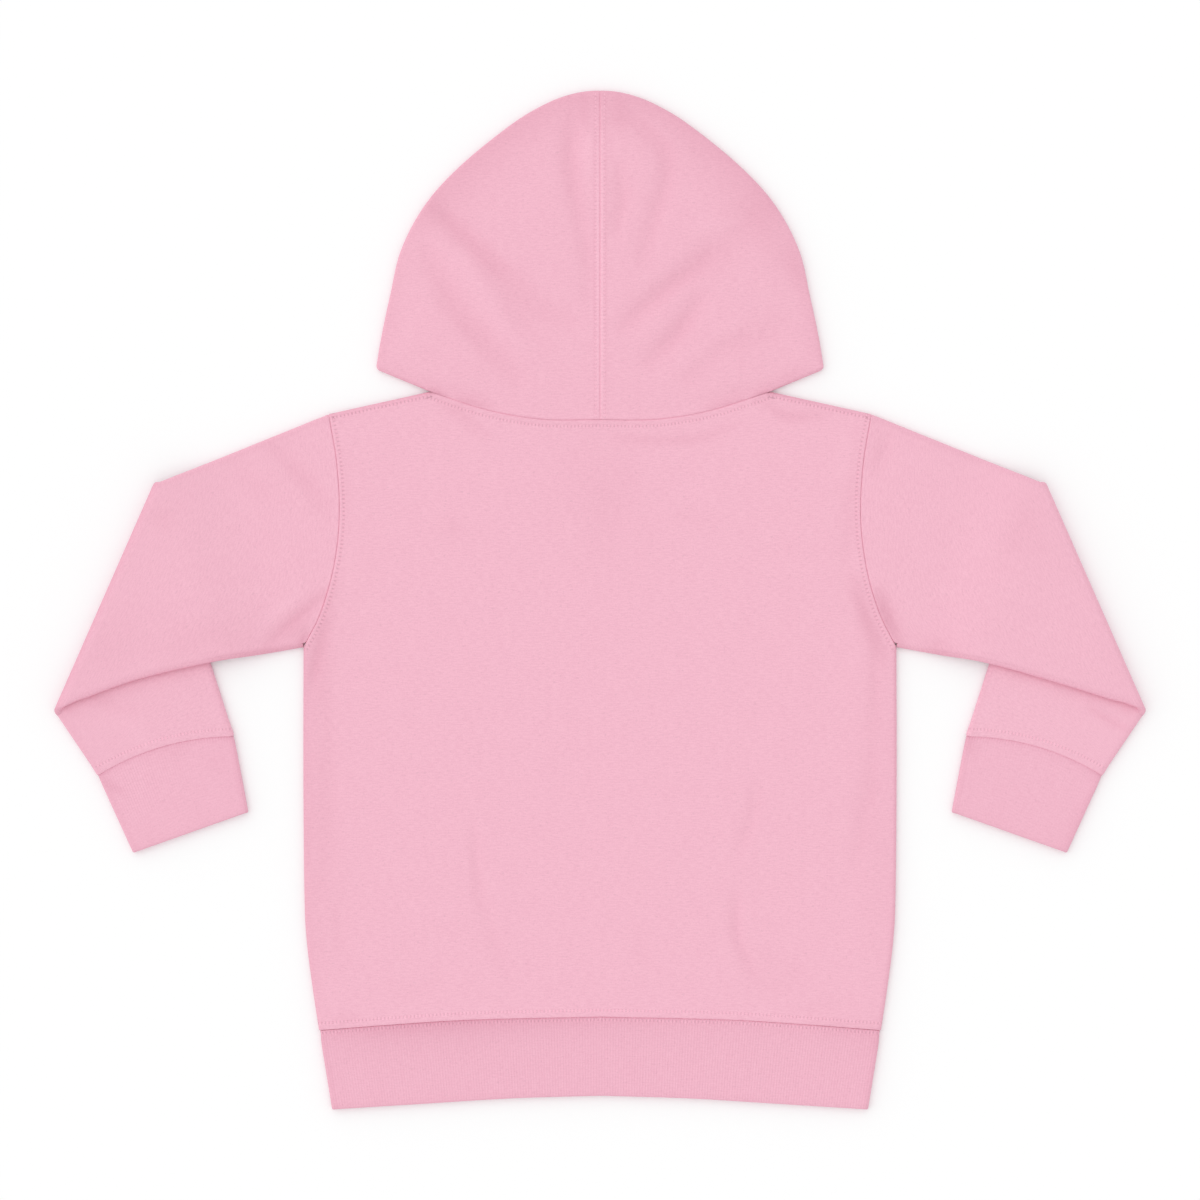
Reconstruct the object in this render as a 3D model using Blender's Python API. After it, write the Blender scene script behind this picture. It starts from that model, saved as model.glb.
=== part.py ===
"""Toddler hoodie, size 2T, laid flat on its front with the back up.

The hood lies spread above the neck and both forearms are folded under the upper arms. Every piece
that is cut and sewn is a solid of its own: back, front, two sleeves, two cuffs, waistband and the
two halves of the hood. X runs across the chest, +Y towards the hood, +Z up, and the origin lies
under the middle of the garment. Sizes are in millimetres and MM turns them into metres.
"""

import math

import bmesh
import bpy
import numpy as np

MM = 0.001

# Cloth: fleece for the body, rib cloth folded double for the cuffs and the waistband
FLEECE = 2.0
GAP = 0.3
TUBE = 2 * FLEECE + GAP
MIDDLE = TUBE / 2
EDGE_RADIUS = TUBE / 2
LIFTED = TUBE + GAP
FOLD_AXIS = TUBE + GAP / 2
SEAM_ROLL = 1.4
SEAM_DROP = 0.55
LIP = 0.5
CURVE_STEPS = 24
SHARP_ANGLE = 50.0

# Body
NAPE_Y = 100.9
NECK_X = 95.1
NECK_Y = 116.6
FRONT_NECK_Y = 62.0
SHOULDER_X = 151.9
SHOULDER_Y = 104.0
UNDERARM_X = 165.9
UNDERARM_Y = -26.4
WAIST_X = 157.3
WAIST_Y = -240.8
WAIST_CENTRE_Y = -233.2
SHOULDER_LENGTH = 58.2
ARMHOLE_LENGTH = 132.0
SIDE_LENGTH = 215.0
PANEL_SLOPE = 15.0
PANEL_FALL = 0.35
EDGE_STEP = 2.2
CORNER_STEP = 1.6

# Waistband and cuffs
HEM_X = 150.1
HEM_Y = -285.0
HEM_CENTRE_Y = -277.4
BAND_DEPTH = 44.0
CUFF_DEPTH = 45.0
RIB_PITCH = 1.58
RIB_DEPTH = 0.42
RIB_RUN_OUT = 5.0

# Sleeve, for the +X side: the elbow fold runs from ELBOW_TOP to ELBOW_LOW
ELBOW_TOP = (250.0, 64.3)
ELBOW_LOW = (305.6, -62.1)
CUFF_OUTER = (281.0, -98.4)
CUFF_INNER = (205.0, -75.8)
CUFF_END_OUTER = (261.3, -141.7)
CUFF_END_INNER = (196.8, -119.0)
CUFF_SEAM_BULGE = 5.0
CUFF_EASE = 0.75
NEAR_ELBOW = 9.0
UPPER_ARM_LENGTH = 110.0
FOREARM_LENGTH = 90.0
ELBOW_STEP = 3.0
SLEEVE_RISE = 42.0
RISE_START = 2.0
ARMHOLE_EASE = 0.65

# Hood
HOOD_CORNER = (125.5, 129.2)
HOOD_CORNER_RADIUS = 3.0
HOOD_CORNER_START = 1.2
HOOD_TOP_Y = 285.2
HOOD_PUFF = 2.6
HOOD_PUFF_RUN = 55.0
HOOD_FOLD_MARGIN = 22.0
NECK_LENGTH = 97.0
HOOD_EDGE_LENGTH = 215.0
HOOD_HEIGHT = 185.0
FACE_TOP_Y = 256.0

# (x, y) along the armhole seam, from the shoulder to the underarm
ARMHOLE = [
    (SHOULDER_X, SHOULDER_Y),
    (147.4, 77.4),
    (145.8, 48.0),
    (148.6, 20.3),
    (155.8, -6.0),
    (UNDERARM_X, UNDERARM_Y),
]
# (x, y) down the side seam, from the underarm to the waistband
SIDE = [
    (UNDERARM_X, UNDERARM_Y),
    (166.0, -100.0),
    (165.4, -166.0),
    (164.2, -190.0),
    (161.4, -213.0),
    (WAIST_X, WAIST_Y),
]
# (x, y) along half the neck seam, from the middle to the side of the neck
BACK_NECK = [(0.0, NAPE_Y), (32.0, 101.1), (62.9, 106.3), (NECK_X, NECK_Y)]
FRONT_NECK = [(0.0, FRONT_NECK_Y), (36.0, 66.0), (72.0, 86.0), (NECK_X, NECK_Y)]
# (x, y) along half the waist seam and half the lower edge, from the middle outwards
WAIST_SEAM = [(0.0, WAIST_CENTRE_Y), (69.6, -234.8), (113.3, -237.4), (WAIST_X, WAIST_Y)]
HEM = [(0.0, HEM_CENTRE_Y), (50.0, -278.9), (100.0, -281.9), (HEM_X, HEM_Y)]
# (x, y) along the underside of the upper arm, from the underarm to the elbow
UNDER_SLEEVE = [(UNDERARM_X, UNDERARM_Y), (190.0, -30.8), (218.0, -35.7), (262.0, -48.3), ELBOW_LOW]
# (x, y) up the folded edge of the hood, from its lower corner to the top
HOOD_EDGE = [
    HOOD_CORNER,
    (122.3, 148.0),
    (117.4, 171.0),
    (111.4, 196.0),
    (98.2, 220.9),
    (78.5, 242.8),
    (50.0, 266.0),
    (30.0, 278.0),
    (14.0, 283.7),
    (0.0, HOOD_TOP_Y),
]
# (x, y) along the face opening, on the hidden side, from the front neck to the crown
FACE_EDGE = [
    (0.0, FRONT_NECK_Y),
    (26.0, 82.0),
    (48.0, 118.0),
    (57.0, 160.0),
    (51.0, 205.0),
    (30.0, 240.0),
    (0.0, FACE_TOP_Y),
]

# Soft troughs of the laid cloth: start, end, half width and depth, a negative depth being a ridge
# (x0, y0, x1, y1, width, depth)
HOOD_FOLDS = [
    (-98.0, 221.0, -52.0, 188.0, 8.0, 1.5),
    (-52.0, 188.0, -18.0, 158.0, 8.0, 1.2),
    (-76.0, 190.0, -44.0, 164.0, 8.0, -0.8),
    (-93.0, 185.0, -34.0, 129.0, 9.0, 1.0),
    (-13.7, 262.0, -4.0, 170.0, 6.0, 0.9),
    (12.0, 262.0, 9.0, 204.0, 6.0, 0.8),
    (26.0, 272.0, 37.0, 240.0, 7.0, 0.8),
    (12.0, 150.0, 56.0, 184.0, 8.0, 1.1),
    (56.0, 184.0, 86.0, 217.0, 8.0, 1.2),
    (70.0, 188.0, 96.0, 198.0, 8.0, -0.8),
    (34.0, 133.0, 68.0, 167.0, 8.0, 0.9),
    (68.0, 167.0, 108.0, 185.0, 8.0, 1.0),
]
BODY_FOLDS = [
    (-72.0, -126.0, -68.0, -174.0, 11.0, 0.7),
    (-68.0, -174.0, -50.0, -212.0, 11.0, 0.5),
    (91.0, -100.0, 78.0, -150.0, 10.0, 0.6),
    (78.0, -150.0, 83.0, -204.0, 10.0, 0.7),
    (83.0, -204.0, 120.0, -217.0, 9.0, 0.5),
    (14.0, 66.0, 0.0, 30.0, 16.0, 0.4),
    (-83.0, 44.0, -75.0, 32.0, 16.0, 0.4),
    (-153.0, -12.0, -161.0, -48.0, 6.0, 0.5),
    (-151.0, -52.0, -147.0, -158.0, 8.0, 0.4),
    (147.0, 1.0, 160.0, -26.0, 6.0, 0.5),
    (153.0, -34.0, 143.0, -142.0, 8.0, 0.5),
]
# Those of the upper arms lie alike on both sides, so x is the distance from the middle
SLEEVE_FOLDS = [
    (200.0, -29.0, 172.0, -12.0, 5.0, 0.7),
    (184.0, 84.0, 158.0, 56.0, 7.0, 0.6),
    (236.0, 58.0, 262.0, -10.0, 12.0, 0.5),
    (250.0, 20.0, 284.0, -48.0, 10.0, 0.4),
]

# colour, roughness and metallic of each material
FLEECE_PINK = ((0.90, 0.50, 0.60, 1.0), 0.92, 0.0)
HOOD_PINK = ((0.89, 0.48, 0.59, 1.0), 0.92, 0.0)
RIB_PINK = ((0.87, 0.47, 0.57, 1.0), 0.90, 0.0)


# ---- curves in the plane ----

def smooth_curve(points, steps=CURVE_STEPS):
    """A Catmull-Rom curve through the points, as a dense polyline."""
    given = np.array(points, dtype=float)
    first = 2 * given[0] - given[1]
    last = 2 * given[-1] - given[-2]
    ext = np.vstack([first, given, last])
    line = []
    for i in range(1, len(ext) - 2):
        a, b, c, d = ext[i - 1], ext[i], ext[i + 1], ext[i + 2]
        for k in range(steps):
            t = k / steps
            bend = (2 * a - 5 * b + 4 * c - d) * t * t
            twist = (3 * b - a - 3 * c + d) * t * t * t
            line.append(0.5 * (2 * b + (c - a) * t + bend + twist))
    line.append(given[-1])
    return np.array(line)


def lengths_along(line):
    """The distance of each point of a polyline from its start."""
    steps = np.linalg.norm(np.diff(line, axis=0), axis=1)
    return np.concatenate([[0.0], np.cumsum(steps)])


def along(line, fractions):
    """Points of a polyline at the given shares of its length."""
    run = lengths_along(line)
    wanted = np.array(fractions, dtype=float) * run[-1]
    return np.column_stack([np.interp(wanted, run, line[:, k]) for k in range(line.shape[1])])


def spread(count, first=0.0, last=0.0, length=1.0):
    """Shares from 0 to 1 in count even steps, after one short step and before another."""
    inner = np.linspace(first / length, 1 - last / length, count + 1)
    shares = list(inner)
    if first > 0:
        shares = [0.0] + shares
    if last > 0:
        shares = shares + [1.0]
    return np.array(shares)


def normals_right(line):
    """The unit normal on the right-hand side of each point of a polyline."""
    ahead = np.vstack([line[1:] - line[:-1], line[-1:] - line[-2:-1]])
    behind = np.vstack([line[1:2] - line[:1], line[1:] - line[:-1]])
    ahead = ahead / np.linalg.norm(ahead, axis=1)[:, None]
    behind = behind / np.linalg.norm(behind, axis=1)[:, None]
    mean = ahead + behind
    mean = mean / np.linalg.norm(mean, axis=1)[:, None]
    return np.column_stack([mean[:, 1], -mean[:, 0]])


def distance_to(line, points):
    """The distance of each point from a polyline."""
    flat = points.reshape(-1, 2)
    starts = line[:-1]
    runs = line[1:] - starts
    squares = np.maximum((runs ** 2).sum(axis=1), 1e-12)
    offset = flat[:, None, :] - starts[None, :, :]
    share = np.clip((offset * runs[None]).sum(axis=2) / squares[None], 0.0, 1.0)
    nearest = starts[None] + share[:, :, None] * runs[None]
    far = np.linalg.norm(flat[:, None, :] - nearest, axis=2)
    return far.min(axis=1).reshape(points.shape[:-1])


def coons(low, high, left, right):
    """A grid between four sides: low and high run alike, and so do left and right."""
    low_share = lengths_along(low) / lengths_along(low)[-1]
    high_share = lengths_along(high) / lengths_along(high)[-1]
    left_share = lengths_along(left) / lengths_along(left)[-1]
    right_share = lengths_along(right) / lengths_along(right)[-1]
    grid = np.zeros((len(left), len(low), 2))
    for j in range(len(left)):
        for i in range(len(low)):
            v = j / (len(left) - 1)
            u = (1 - v) * low_share[i] + v * high_share[i]
            v = (1 - u) * left_share[j] + u * right_share[j]
            across = (1 - v) * low[i] + v * high[i]
            up = (1 - u) * left[j] + u * right[j]
            corners = (1 - v) * ((1 - u) * low[0] + u * low[-1])
            corners = corners + v * ((1 - u) * high[0] + u * high[-1])
            grid[j, i] = across + up - corners
    return grid


def smoothstep(t):
    """0 below 0, 1 above 1, and a soft step between."""
    t = np.clip(t, 0.0, 1.0)
    return t * t * (3 - 2 * t)


def folds_at(points, folds):
    """How far the troughs and ridges of a table move the cloth up at each point."""
    rise = np.zeros(points.shape[:-1])
    for x0, y0, x1, y1, width, depth in folds:
        line = np.array([(x0, y0), (x1, y1)])
        rise = rise - depth * np.exp(-(distance_to(line, points) / width) ** 2)
    return rise


def mirrored(table):
    """A point table with x turned round."""
    return [(-x, y) for x, y in table]


# ---- solids ----

def zip_faces(outer, outer_shares, inner, inner_shares):
    """Triangles between two chains of vertices, matched by their shares of the way round."""
    faces = []
    i = 0
    j = 0
    while i < len(outer) - 1 or j < len(inner) - 1:
        next_outer = outer_shares[i + 1] if i < len(outer) - 1 else 9.0
        next_inner = inner_shares[j + 1] if j < len(inner) - 1 else 9.0
        if next_outer <= next_inner:
            faces.append((outer[i], outer[i + 1], inner[j]))
            i += 1
        else:
            faces.append((outer[i], inner[j + 1], inner[j]))
            j += 1
    return faces


def add_object(name, points, faces, look, flip=False):
    """A closed mesh object of the garment, from points in millimetres."""
    mesh = bpy.data.meshes.new(name)
    mesh.from_pydata([tuple(MM * float(c) for c in p) for p in points], [], faces)
    if flip:
        mesh.flip_normals()
    mesh.materials.append(material(name + "_cloth", look))
    mesh.shade_smooth()
    mesh.set_sharp_from_angle(angle=math.radians(SHARP_ANGLE))
    item = bpy.data.objects.new(name, mesh)
    garment().objects.link(item)
    return item


def material(name, look):
    """A plain matt cloth."""
    colour, roughness, metallic = look
    cloth = bpy.data.materials.new(name)
    cloth.use_nodes = True
    shader = cloth.node_tree.nodes["Principled BSDF"]
    shader.inputs["Base Color"].default_value = colour
    shader.inputs["Roughness"].default_value = roughness
    shader.inputs["Metallic"].default_value = metallic
    cloth.diffuse_color = colour
    return cloth


def garment():
    """The collection that holds the pieces."""
    held = bpy.data.collections.get("toddler_hoodie")
    if held is None:
        held = bpy.data.collections.new("toddler_hoodie")
        bpy.context.scene.collection.children.link(held)
    return held


# ---- front and back ----

def panel_grid(neck, rows, columns):
    """The panel's points from left to right and from the neck down, with its seams and folds."""
    neck_line = smooth_curve(neck)
    shoulder = np.array([(NECK_X, NECK_Y), (SHOULDER_X, SHOULDER_Y)])
    armhole = smooth_curve(ARMHOLE)
    side = smooth_curve(SIDE)
    waist = smooth_curve(WAIST_SEAM)
    neck_steps, shoulder_steps = columns
    arm_steps, side_steps = rows
    top = np.vstack([
        along(neck_line, spread(neck_steps)),
        along(shoulder, spread(shoulder_steps, 0.0, EDGE_STEP, SHOULDER_LENGTH))[1:],
    ])
    edge = np.vstack([
        along(armhole, spread(arm_steps, CORNER_STEP, 0.0, ARMHOLE_LENGTH)),
        along(side, spread(side_steps, 0.0, CORNER_STEP, SIDE_LENGTH))[1:],
    ])
    shares = lengths_along(top) / lengths_along(top)[-1]
    shares[-2] = 1 - EDGE_STEP / WAIST_X
    low = along(waist, shares)
    depth = lengths_along(edge) / lengths_along(edge)[-1]
    middle = np.array([(0.0, top[0][1]), (0.0, WAIST_CENTRE_Y)])
    half = pull_in(coons(top, low, along(middle, depth), edge), GAP / 2)
    seams = both_sides([neck_line, armhole, waist])
    folded = both_sides([shoulder, side])
    grid = np.concatenate([half[:, :0:-1] * [-1.0, 1.0], half], axis=1)
    return grid, seams, folded


def both_sides(lines):
    """The lines of the +X side and their mirrored ones."""
    return lines + [line * [-1.0, 1.0] for line in lines]


def pull_in(grid, amount):
    """Half a panel's grid with its outer points drawn in by half a seam's gap."""
    moved = grid.copy()
    moved[0] += [0.0, -amount]
    moved[-1] += [0.0, amount]
    moved[:, -1] += [-amount, 0.0]
    return moved


def panel_heights(grid, seams, folded):
    """The wall over a panel's flat inside: rounded off at folds and rolled down at seams."""
    to_fold = np.min([distance_to(line, grid) for line in folded], axis=0)
    to_seam = np.min([distance_to(line, grid) for line in seams], axis=0)
    inward = np.clip(to_fold / EDGE_RADIUS, 0.0, 1.0)
    rise = EDGE_RADIUS * np.sqrt(1 - (1 - inward) ** 2) - GAP / 2
    rise = rise - PANEL_FALL * (1 - smoothstep(to_fold / PANEL_SLOPE))
    rise = rise - SEAM_DROP * np.clip(1 - to_seam / SEAM_ROLL, 0.0, 1.0) ** 2
    return np.maximum(rise, LIP)


def panel(name, neck, rows, columns, base, folds, up):
    """A panel with a flat inner face, its outer face up with soft folds, or down and flat."""
    grid, seams, folded = panel_grid(neck, rows, columns)
    rise = panel_heights(grid, seams, folded)
    if up:
        kept = np.clip((rise - LIP) / (FLEECE - LIP), 0.0, 1.0)
        rise = rise + folds_at(grid, folds) * kept
    else:
        rise = -np.where(rise > FLEECE - PANEL_FALL - SEAM_DROP, FLEECE, rise)
    high, wide = rise.shape
    points = [(*grid[j, i], base + rise[j, i]) for j in range(high) for i in range(wide)]
    rim = [(0, i) for i in range(wide)]
    rim += [(j, wide - 1) for j in range(1, high)]
    rim += [(high - 1, i) for i in range(wide - 2, -1, -1)]
    rim += [(j, 0) for j in range(high - 2, 0, -1)]
    first = len(points)
    points += [(*grid[j, i], base) for j, i in rim]
    faces = []
    for j in range(high - 1):
        for i in range(wide - 1):
            a = j * wide + i
            faces.append((a, a + wide, a + wide + 1, a + 1))
    for k in range(len(rim)):
        n = (k + 1) % len(rim)
        a = rim[k][0] * wide + rim[k][1]
        b = rim[n][0] * wide + rim[n][1]
        faces.append((a, b, first + n, first + k))
    faces.append(tuple(first + k for k in range(len(rim))))
    item = add_object(name, points, faces, FLEECE_PINK, flip=not up)
    flat_faces_in_triangles(item.data)


def flat_faces_in_triangles(mesh):
    """Splits the many-sided flat faces into well-shaped triangles."""
    work = bmesh.new()
    work.from_mesh(mesh)
    many = [face for face in work.faces if len(face.verts) > 4]
    bmesh.ops.triangulate(work, faces=many, ngon_method="BEAUTY")
    work.to_mesh(mesh)
    work.free()


# ---- flattened tubes: sleeves, cuffs and waistband ----

def tube_section(columns, rim_steps, inner_columns):
    """Section points (s, h, e) of a flattened tube and their shares of the way round.

    s is the share across, h the height in the tube and e the reach past either folded edge. The
    chain starts at s = 0 on the upper layer and ends where it started.
    """
    outer = [(s, TUBE, 0.0) for s in np.linspace(0, 1, columns + 1)]
    outer += rim_points(1.0, EDGE_RADIUS, rim_steps, 1)
    outer += [(s, 0.0, 0.0) for s in np.linspace(1, 0, columns + 1)]
    outer += rim_points(0.0, EDGE_RADIUS, rim_steps, -1)
    inner = [(s, MIDDLE + GAP / 2, 0.0) for s in np.linspace(0, 1, inner_columns + 1)]
    inner += rim_points(1.0, GAP / 2, 2, 1)
    inner += [(s, MIDDLE - GAP / 2, 0.0) for s in np.linspace(1, 0, inner_columns + 1)]
    inner += rim_points(0.0, GAP / 2, 2, -1)
    return outer, inner


def rim_points(s, radius, steps, way):
    """The turned points of a folded edge, going down at s = 1 and up at s = 0."""
    points = []
    for k in range(1, steps):
        angle = math.pi * k / steps
        points.append((s, MIDDLE + way * radius * math.cos(angle), way * radius * math.sin(angle)))
    return points


def chain_shares(section):
    """Shares of the way round, with a quarter for each layer and for each folded edge."""
    shares = []
    for s, h, e in section:
        turn = math.atan2(abs(e), (h - MIDDLE) * (1 if e >= 0 else -1)) / math.pi
        if e > 0:
            shares.append(0.25 + 0.25 * turn)
        elif e < 0:
            shares.append(0.75 + 0.25 * turn)
        elif h > MIDDLE:
            shares.append(0.25 * s)
        else:
            shares.append(0.75 - 0.25 * s)
    return shares


def tube_mesh(stations, outer, inner, place):
    """Points and faces of a closed wall between the outer and the inner chains."""
    points = []
    faces = []
    chains = []
    for section in (outer, inner):
        starts = []
        for station in stations:
            starts.append(len(points))
            points.extend(place(station, s, h, e, section is outer) for s, h, e in section)
        chains.append(starts)
    for starts, section, inward in ((chains[0], outer, False), (chains[1], inner, True)):
        size = len(section)
        for a, b in zip(starts[:-1], starts[1:]):
            for k in range(size):
                n = (k + 1) % size
                face = (a + k, b + k, b + n, a + n)
                faces.append(tuple(reversed(face)) if inward else face)
    for end, reverse in ((0, False), (-1, True)):
        rings = []
        for starts, section in ((chains[0], outer), (chains[1], inner)):
            ring = [starts[end] + k for k in range(len(section))]
            rings += [ring + ring[:1], chain_shares(section) + [1.0]]
        for face in zip_faces(*rings):
            faces.append(tuple(reversed(face)) if reverse else face)
    return points, faces


# ---- sleeves ----

def unit(vector):
    return np.array(vector) / np.linalg.norm(vector)


def sleeve_lines():
    """The folded edges' inner lines and the elbow's axis, for the +X side."""
    shoulder = np.array((SHOULDER_X, SHOULDER_Y))
    top = np.array(ELBOW_TOP)
    low = np.array(ELBOW_LOW)
    fold = unit(low - top)
    inward = np.array([fold[1], -fold[0]])
    axis_top = top + FOLD_AXIS * inward + EDGE_RADIUS * fold
    axis_low = low + FOLD_AXIS * inward - EDGE_RADIUS * fold
    run = unit(top - shoulder)
    down = np.array([run[1], -run[0]])
    upper_top = np.array([
        shoulder + EDGE_RADIUS * down + ARMHOLE_EASE * run,
        top - NEAR_ELBOW * run + EDGE_RADIUS * down,
        axis_top,
    ])
    under = smooth_curve(UNDER_SLEEVE)
    under_in = under - EDGE_RADIUS * normals_right(under)
    kept = lengths_along(under_in) < lengths_along(under_in)[-1] - NEAR_ELBOW
    upper_low = np.vstack([under_in[kept], axis_low])
    upper_low[0] += [ARMHOLE_EASE, 0.0]
    return upper_top, upper_low, axis_top, axis_low, fold, -inward


def sleeve_stations():
    """Stations from the armhole to the elbow, round it and back to the cuff seam."""
    upper_top, upper_low, axis_top, axis_low, fold, outward = sleeve_lines()
    armhole = smooth_curve(ARMHOLE)
    armhole = armhole + ARMHOLE_EASE * np.array([1.0, 0.0])
    armhole[0] = upper_top[0]
    armhole[-1] = upper_low[0]
    across = np.linspace(0, 1, 41)
    shares = spread(11, SEAM_ROLL, ELBOW_STEP, UPPER_ARM_LENGTH)
    grid = coons(
        along(armhole, across),
        along(np.array([axis_top, axis_low]), across),
        along(upper_top, shares),
        along(upper_low, shares),
    )
    stations = []
    for k, row in enumerate(grid[:-1]):
        stations.append({"part": "upper", "row": row, "drop": SEAM_DROP if k == 0 else 0.0,
                         "ends": edge_normals(upper_top, upper_low, shares[k], fold)})
    for k in range(7):
        angle = math.pi * k / 6
        stations.append({"part": "elbow", "row": grid[-1], "angle": angle, "drop": 0.0,
                         "ends": (-fold, fold), "outward": outward})
    inner_edge = inset_line(ELBOW_TOP, CUFF_INNER, 1, axis_top)
    outer_edge = inset_line(ELBOW_LOW, CUFF_OUTER, -1, axis_low)
    seam = cuff_seam(inner_edge[-1], outer_edge[-1])
    shares = spread(6, ELBOW_STEP, SEAM_ROLL, FOREARM_LENGTH)
    lower = coons(
        along(np.array([axis_top, axis_low]), across),
        along(seam, across),
        along(inner_edge, shares),
        along(outer_edge, shares),
    )
    for k, row in enumerate(lower[1:], start=1):
        last = k == len(lower) - 1
        ends = edge_normals(inner_edge, outer_edge, shares[k], fold)
        stations.append({"part": "lower", "row": row, "drop": SEAM_DROP if last else 0.0,
                         "ends": cuff_seam_ends() if last else ends})
    return stations


def inset_line(start, end, way, first):
    """A forearm edge's inner line, from the elbow's axis to the cuff seam."""
    run = unit(np.array(end) - np.array(start))
    inward = way * np.array([-run[1], run[0]])
    near = np.array(start) + NEAR_ELBOW * run + EDGE_RADIUS * inward
    last = np.array(end) + EDGE_RADIUS * inward
    return np.array([first, near, last])


def cuff_seam(inner, outer):
    """The seam between forearm and cuff, bowed towards the elbow."""
    return bowed(inner, outer, CUFF_SEAM_BULGE)


def cuff_seam_ends():
    """The ways out of the tube's edges at the cuff seam, halfway between forearm and cuff."""
    ways = []
    for elbow, seam, end, side in (
        (ELBOW_TOP, CUFF_INNER, CUFF_END_INNER, 1),
        (ELBOW_LOW, CUFF_OUTER, CUFF_END_OUTER, -1),
    ):
        run = unit(np.array(seam) - np.array(elbow)) + unit(np.array(end) - np.array(seam))
        ways.append(side * unit((run[1], -run[0])))
    return tuple(ways)


def bowed(start, end, bulge):
    """A shallow parabola between two points, bowed to the left of its run."""
    run = unit(end - start)
    left = np.array([-run[1], run[0]])
    shares = np.linspace(0, 1, 33)
    return np.array([start + (end - start) * t + left * bulge * 4 * t * (1 - t) for t in shares])


def edge_normals(first, second, share, fold):
    """The ways out of a tube's two folded edges at a share of their length."""
    ways = []
    for line, side in ((first, -1.0), (second, 1.0)):
        near = along(line, [max(share - 0.03, 0.0), min(share + 0.03, 1.0)])
        run = unit(near[1] - near[0])
        way = np.array([run[1], -run[0]])
        if np.dot(way, fold) * side < 0:
            way = -way
        ways.append(way)
    return tuple(ways)


def row_point(row, s):
    """A point of a station's row at a share across."""
    at = s * (len(row) - 1)
    k = min(int(at), len(row) - 2)
    return row[k] + (row[k + 1] - row[k]) * (at - k)


def forearm_clearance(point):
    """How far a point lies towards the body from the hidden edge of the forearm."""
    start = np.array(ELBOW_TOP)
    run = unit(np.array(CUFF_INNER) - start)
    return float(np.dot(point - start, np.array([run[1], -run[0]])))


def sleeve_place(station, s, h, e, outside):
    """Where a section point of the sleeve lies."""
    plan = row_point(station["row"], s)
    way = station["ends"][0] if e < 0 else station["ends"][1]
    reach = abs(e) * way
    if station["part"] == "elbow":
        radius = GAP / 2 + h
        angle = station["angle"]
        flat = plan + reach + radius * math.sin(angle) * station["outward"]
        return (flat[0], flat[1], FOLD_AXIS + radius * math.cos(angle))
    flat = plan + reach
    topmost = outside and e == 0.0
    if station["part"] == "lower":
        shown = topmost and h == 0.0
        return (flat[0], flat[1], TUBE - h - (station["drop"] if shown else 0.0))
    rise = LIFTED * (1 - float(smoothstep((forearm_clearance(plan) - RISE_START) / SLEEVE_RISE)))
    if topmost and h == TUBE:
        rise += float(folds_at(flat, SLEEVE_FOLDS)) - station["drop"]
    return (flat[0], flat[1], rise + h)


def sleeve(name, side):
    """One sleeve as a hollow tube, turned under at the elbow."""
    outer, inner = tube_section(11, 6, 4)
    points, faces = tube_mesh(sleeve_stations(), outer, inner, sleeve_place)
    points = [(side * x, y, z) for x, y, z in points]
    add_object(name, points, faces, FLEECE_PINK, flip=side > 0)


# ---- cuffs ----

def cuff(name, side):
    """A cuff of double rib cloth, its ribs along the arm."""
    inner_edge = cuff_side(CUFF_INNER, CUFF_END_INNER, 1)
    outer_edge = cuff_side(CUFF_OUTER, CUFF_END_OUTER, -1)
    across = np.linspace(0, 1, 41)
    shares = spread(2, SEAM_ROLL, SEAM_ROLL, CUFF_DEPTH)
    grid = coons(
        along(cuff_seam(inner_edge[0], outer_edge[0]), across),
        along(np.array([inner_edge[-1], outer_edge[-1]]), across),
        along(inner_edge, shares),
        along(outer_edge, shares),
    )
    fold = unit(np.array(CUFF_OUTER) - np.array(CUFF_INNER))
    stations = []
    for k, row in enumerate(grid):
        end = k in (0, len(grid) - 1)
        ends = edge_normals(inner_edge, outer_edge, shares[k], fold)
        stations.append({"row": row, "drop": SEAM_DROP if end else 0.0,
                         "ends": ends if k else cuff_seam_ends()})
    width = np.linalg.norm(outer_edge[0] - inner_edge[0])
    outer, inner = ribbed_section(int(width / RIB_PITCH), 5, 4, 5, width)
    points, faces = tube_mesh(stations, outer, inner, rib_place)
    points = [(side * x, y, z) for x, y, z in points]
    add_object(name, points, faces, RIB_PINK, flip=side < 0)


def cuff_side(seam_end, open_end, way):
    """A cuff edge's inner line, set off from the sleeve by the seam's gap."""
    start = np.array(seam_end)
    end = np.array(open_end)
    run = unit(end - start)
    inward = way * np.array([-run[1], run[0]])
    return np.array([start + CUFF_EASE * run + EDGE_RADIUS * inward, end + EDGE_RADIUS * inward])


def ribbed_section(ribs, rim_steps, inner_columns, lower_columns, width):
    """A tube section whose upper layer is ribbed: every other point is a groove."""
    outer, inner = tube_section(2 * ribs, rim_steps, inner_columns)
    top = outer[: 2 * ribs + 1]
    ribbed = []
    for k, (s, h, e) in enumerate(top):
        fade = float(smoothstep(min(s, 1 - s) * width / RIB_RUN_OUT))
        depth = RIB_DEPTH * fade if k % 2 else 0.0
        ribbed.append((s, h - depth, e))
    low = [(s, 0.0, 0.0) for s in np.linspace(1, 0, lower_columns + 1)]
    right = outer[2 * ribs + 1: 2 * ribs + rim_steps]
    left = outer[-(rim_steps - 1):]
    return ribbed + right + low + left, inner


def rib_place(station, s, h, e, outside):
    """Where a section point of a rib tube lies."""
    way = station["ends"][0] if e < 0 else station["ends"][1]
    flat = row_point(station["row"], s) + abs(e) * way
    shown = outside and e == 0.0 and h > MIDDLE
    return (flat[0], flat[1], h - (station["drop"] if shown else 0.0))


# ---- waistband ----

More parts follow.
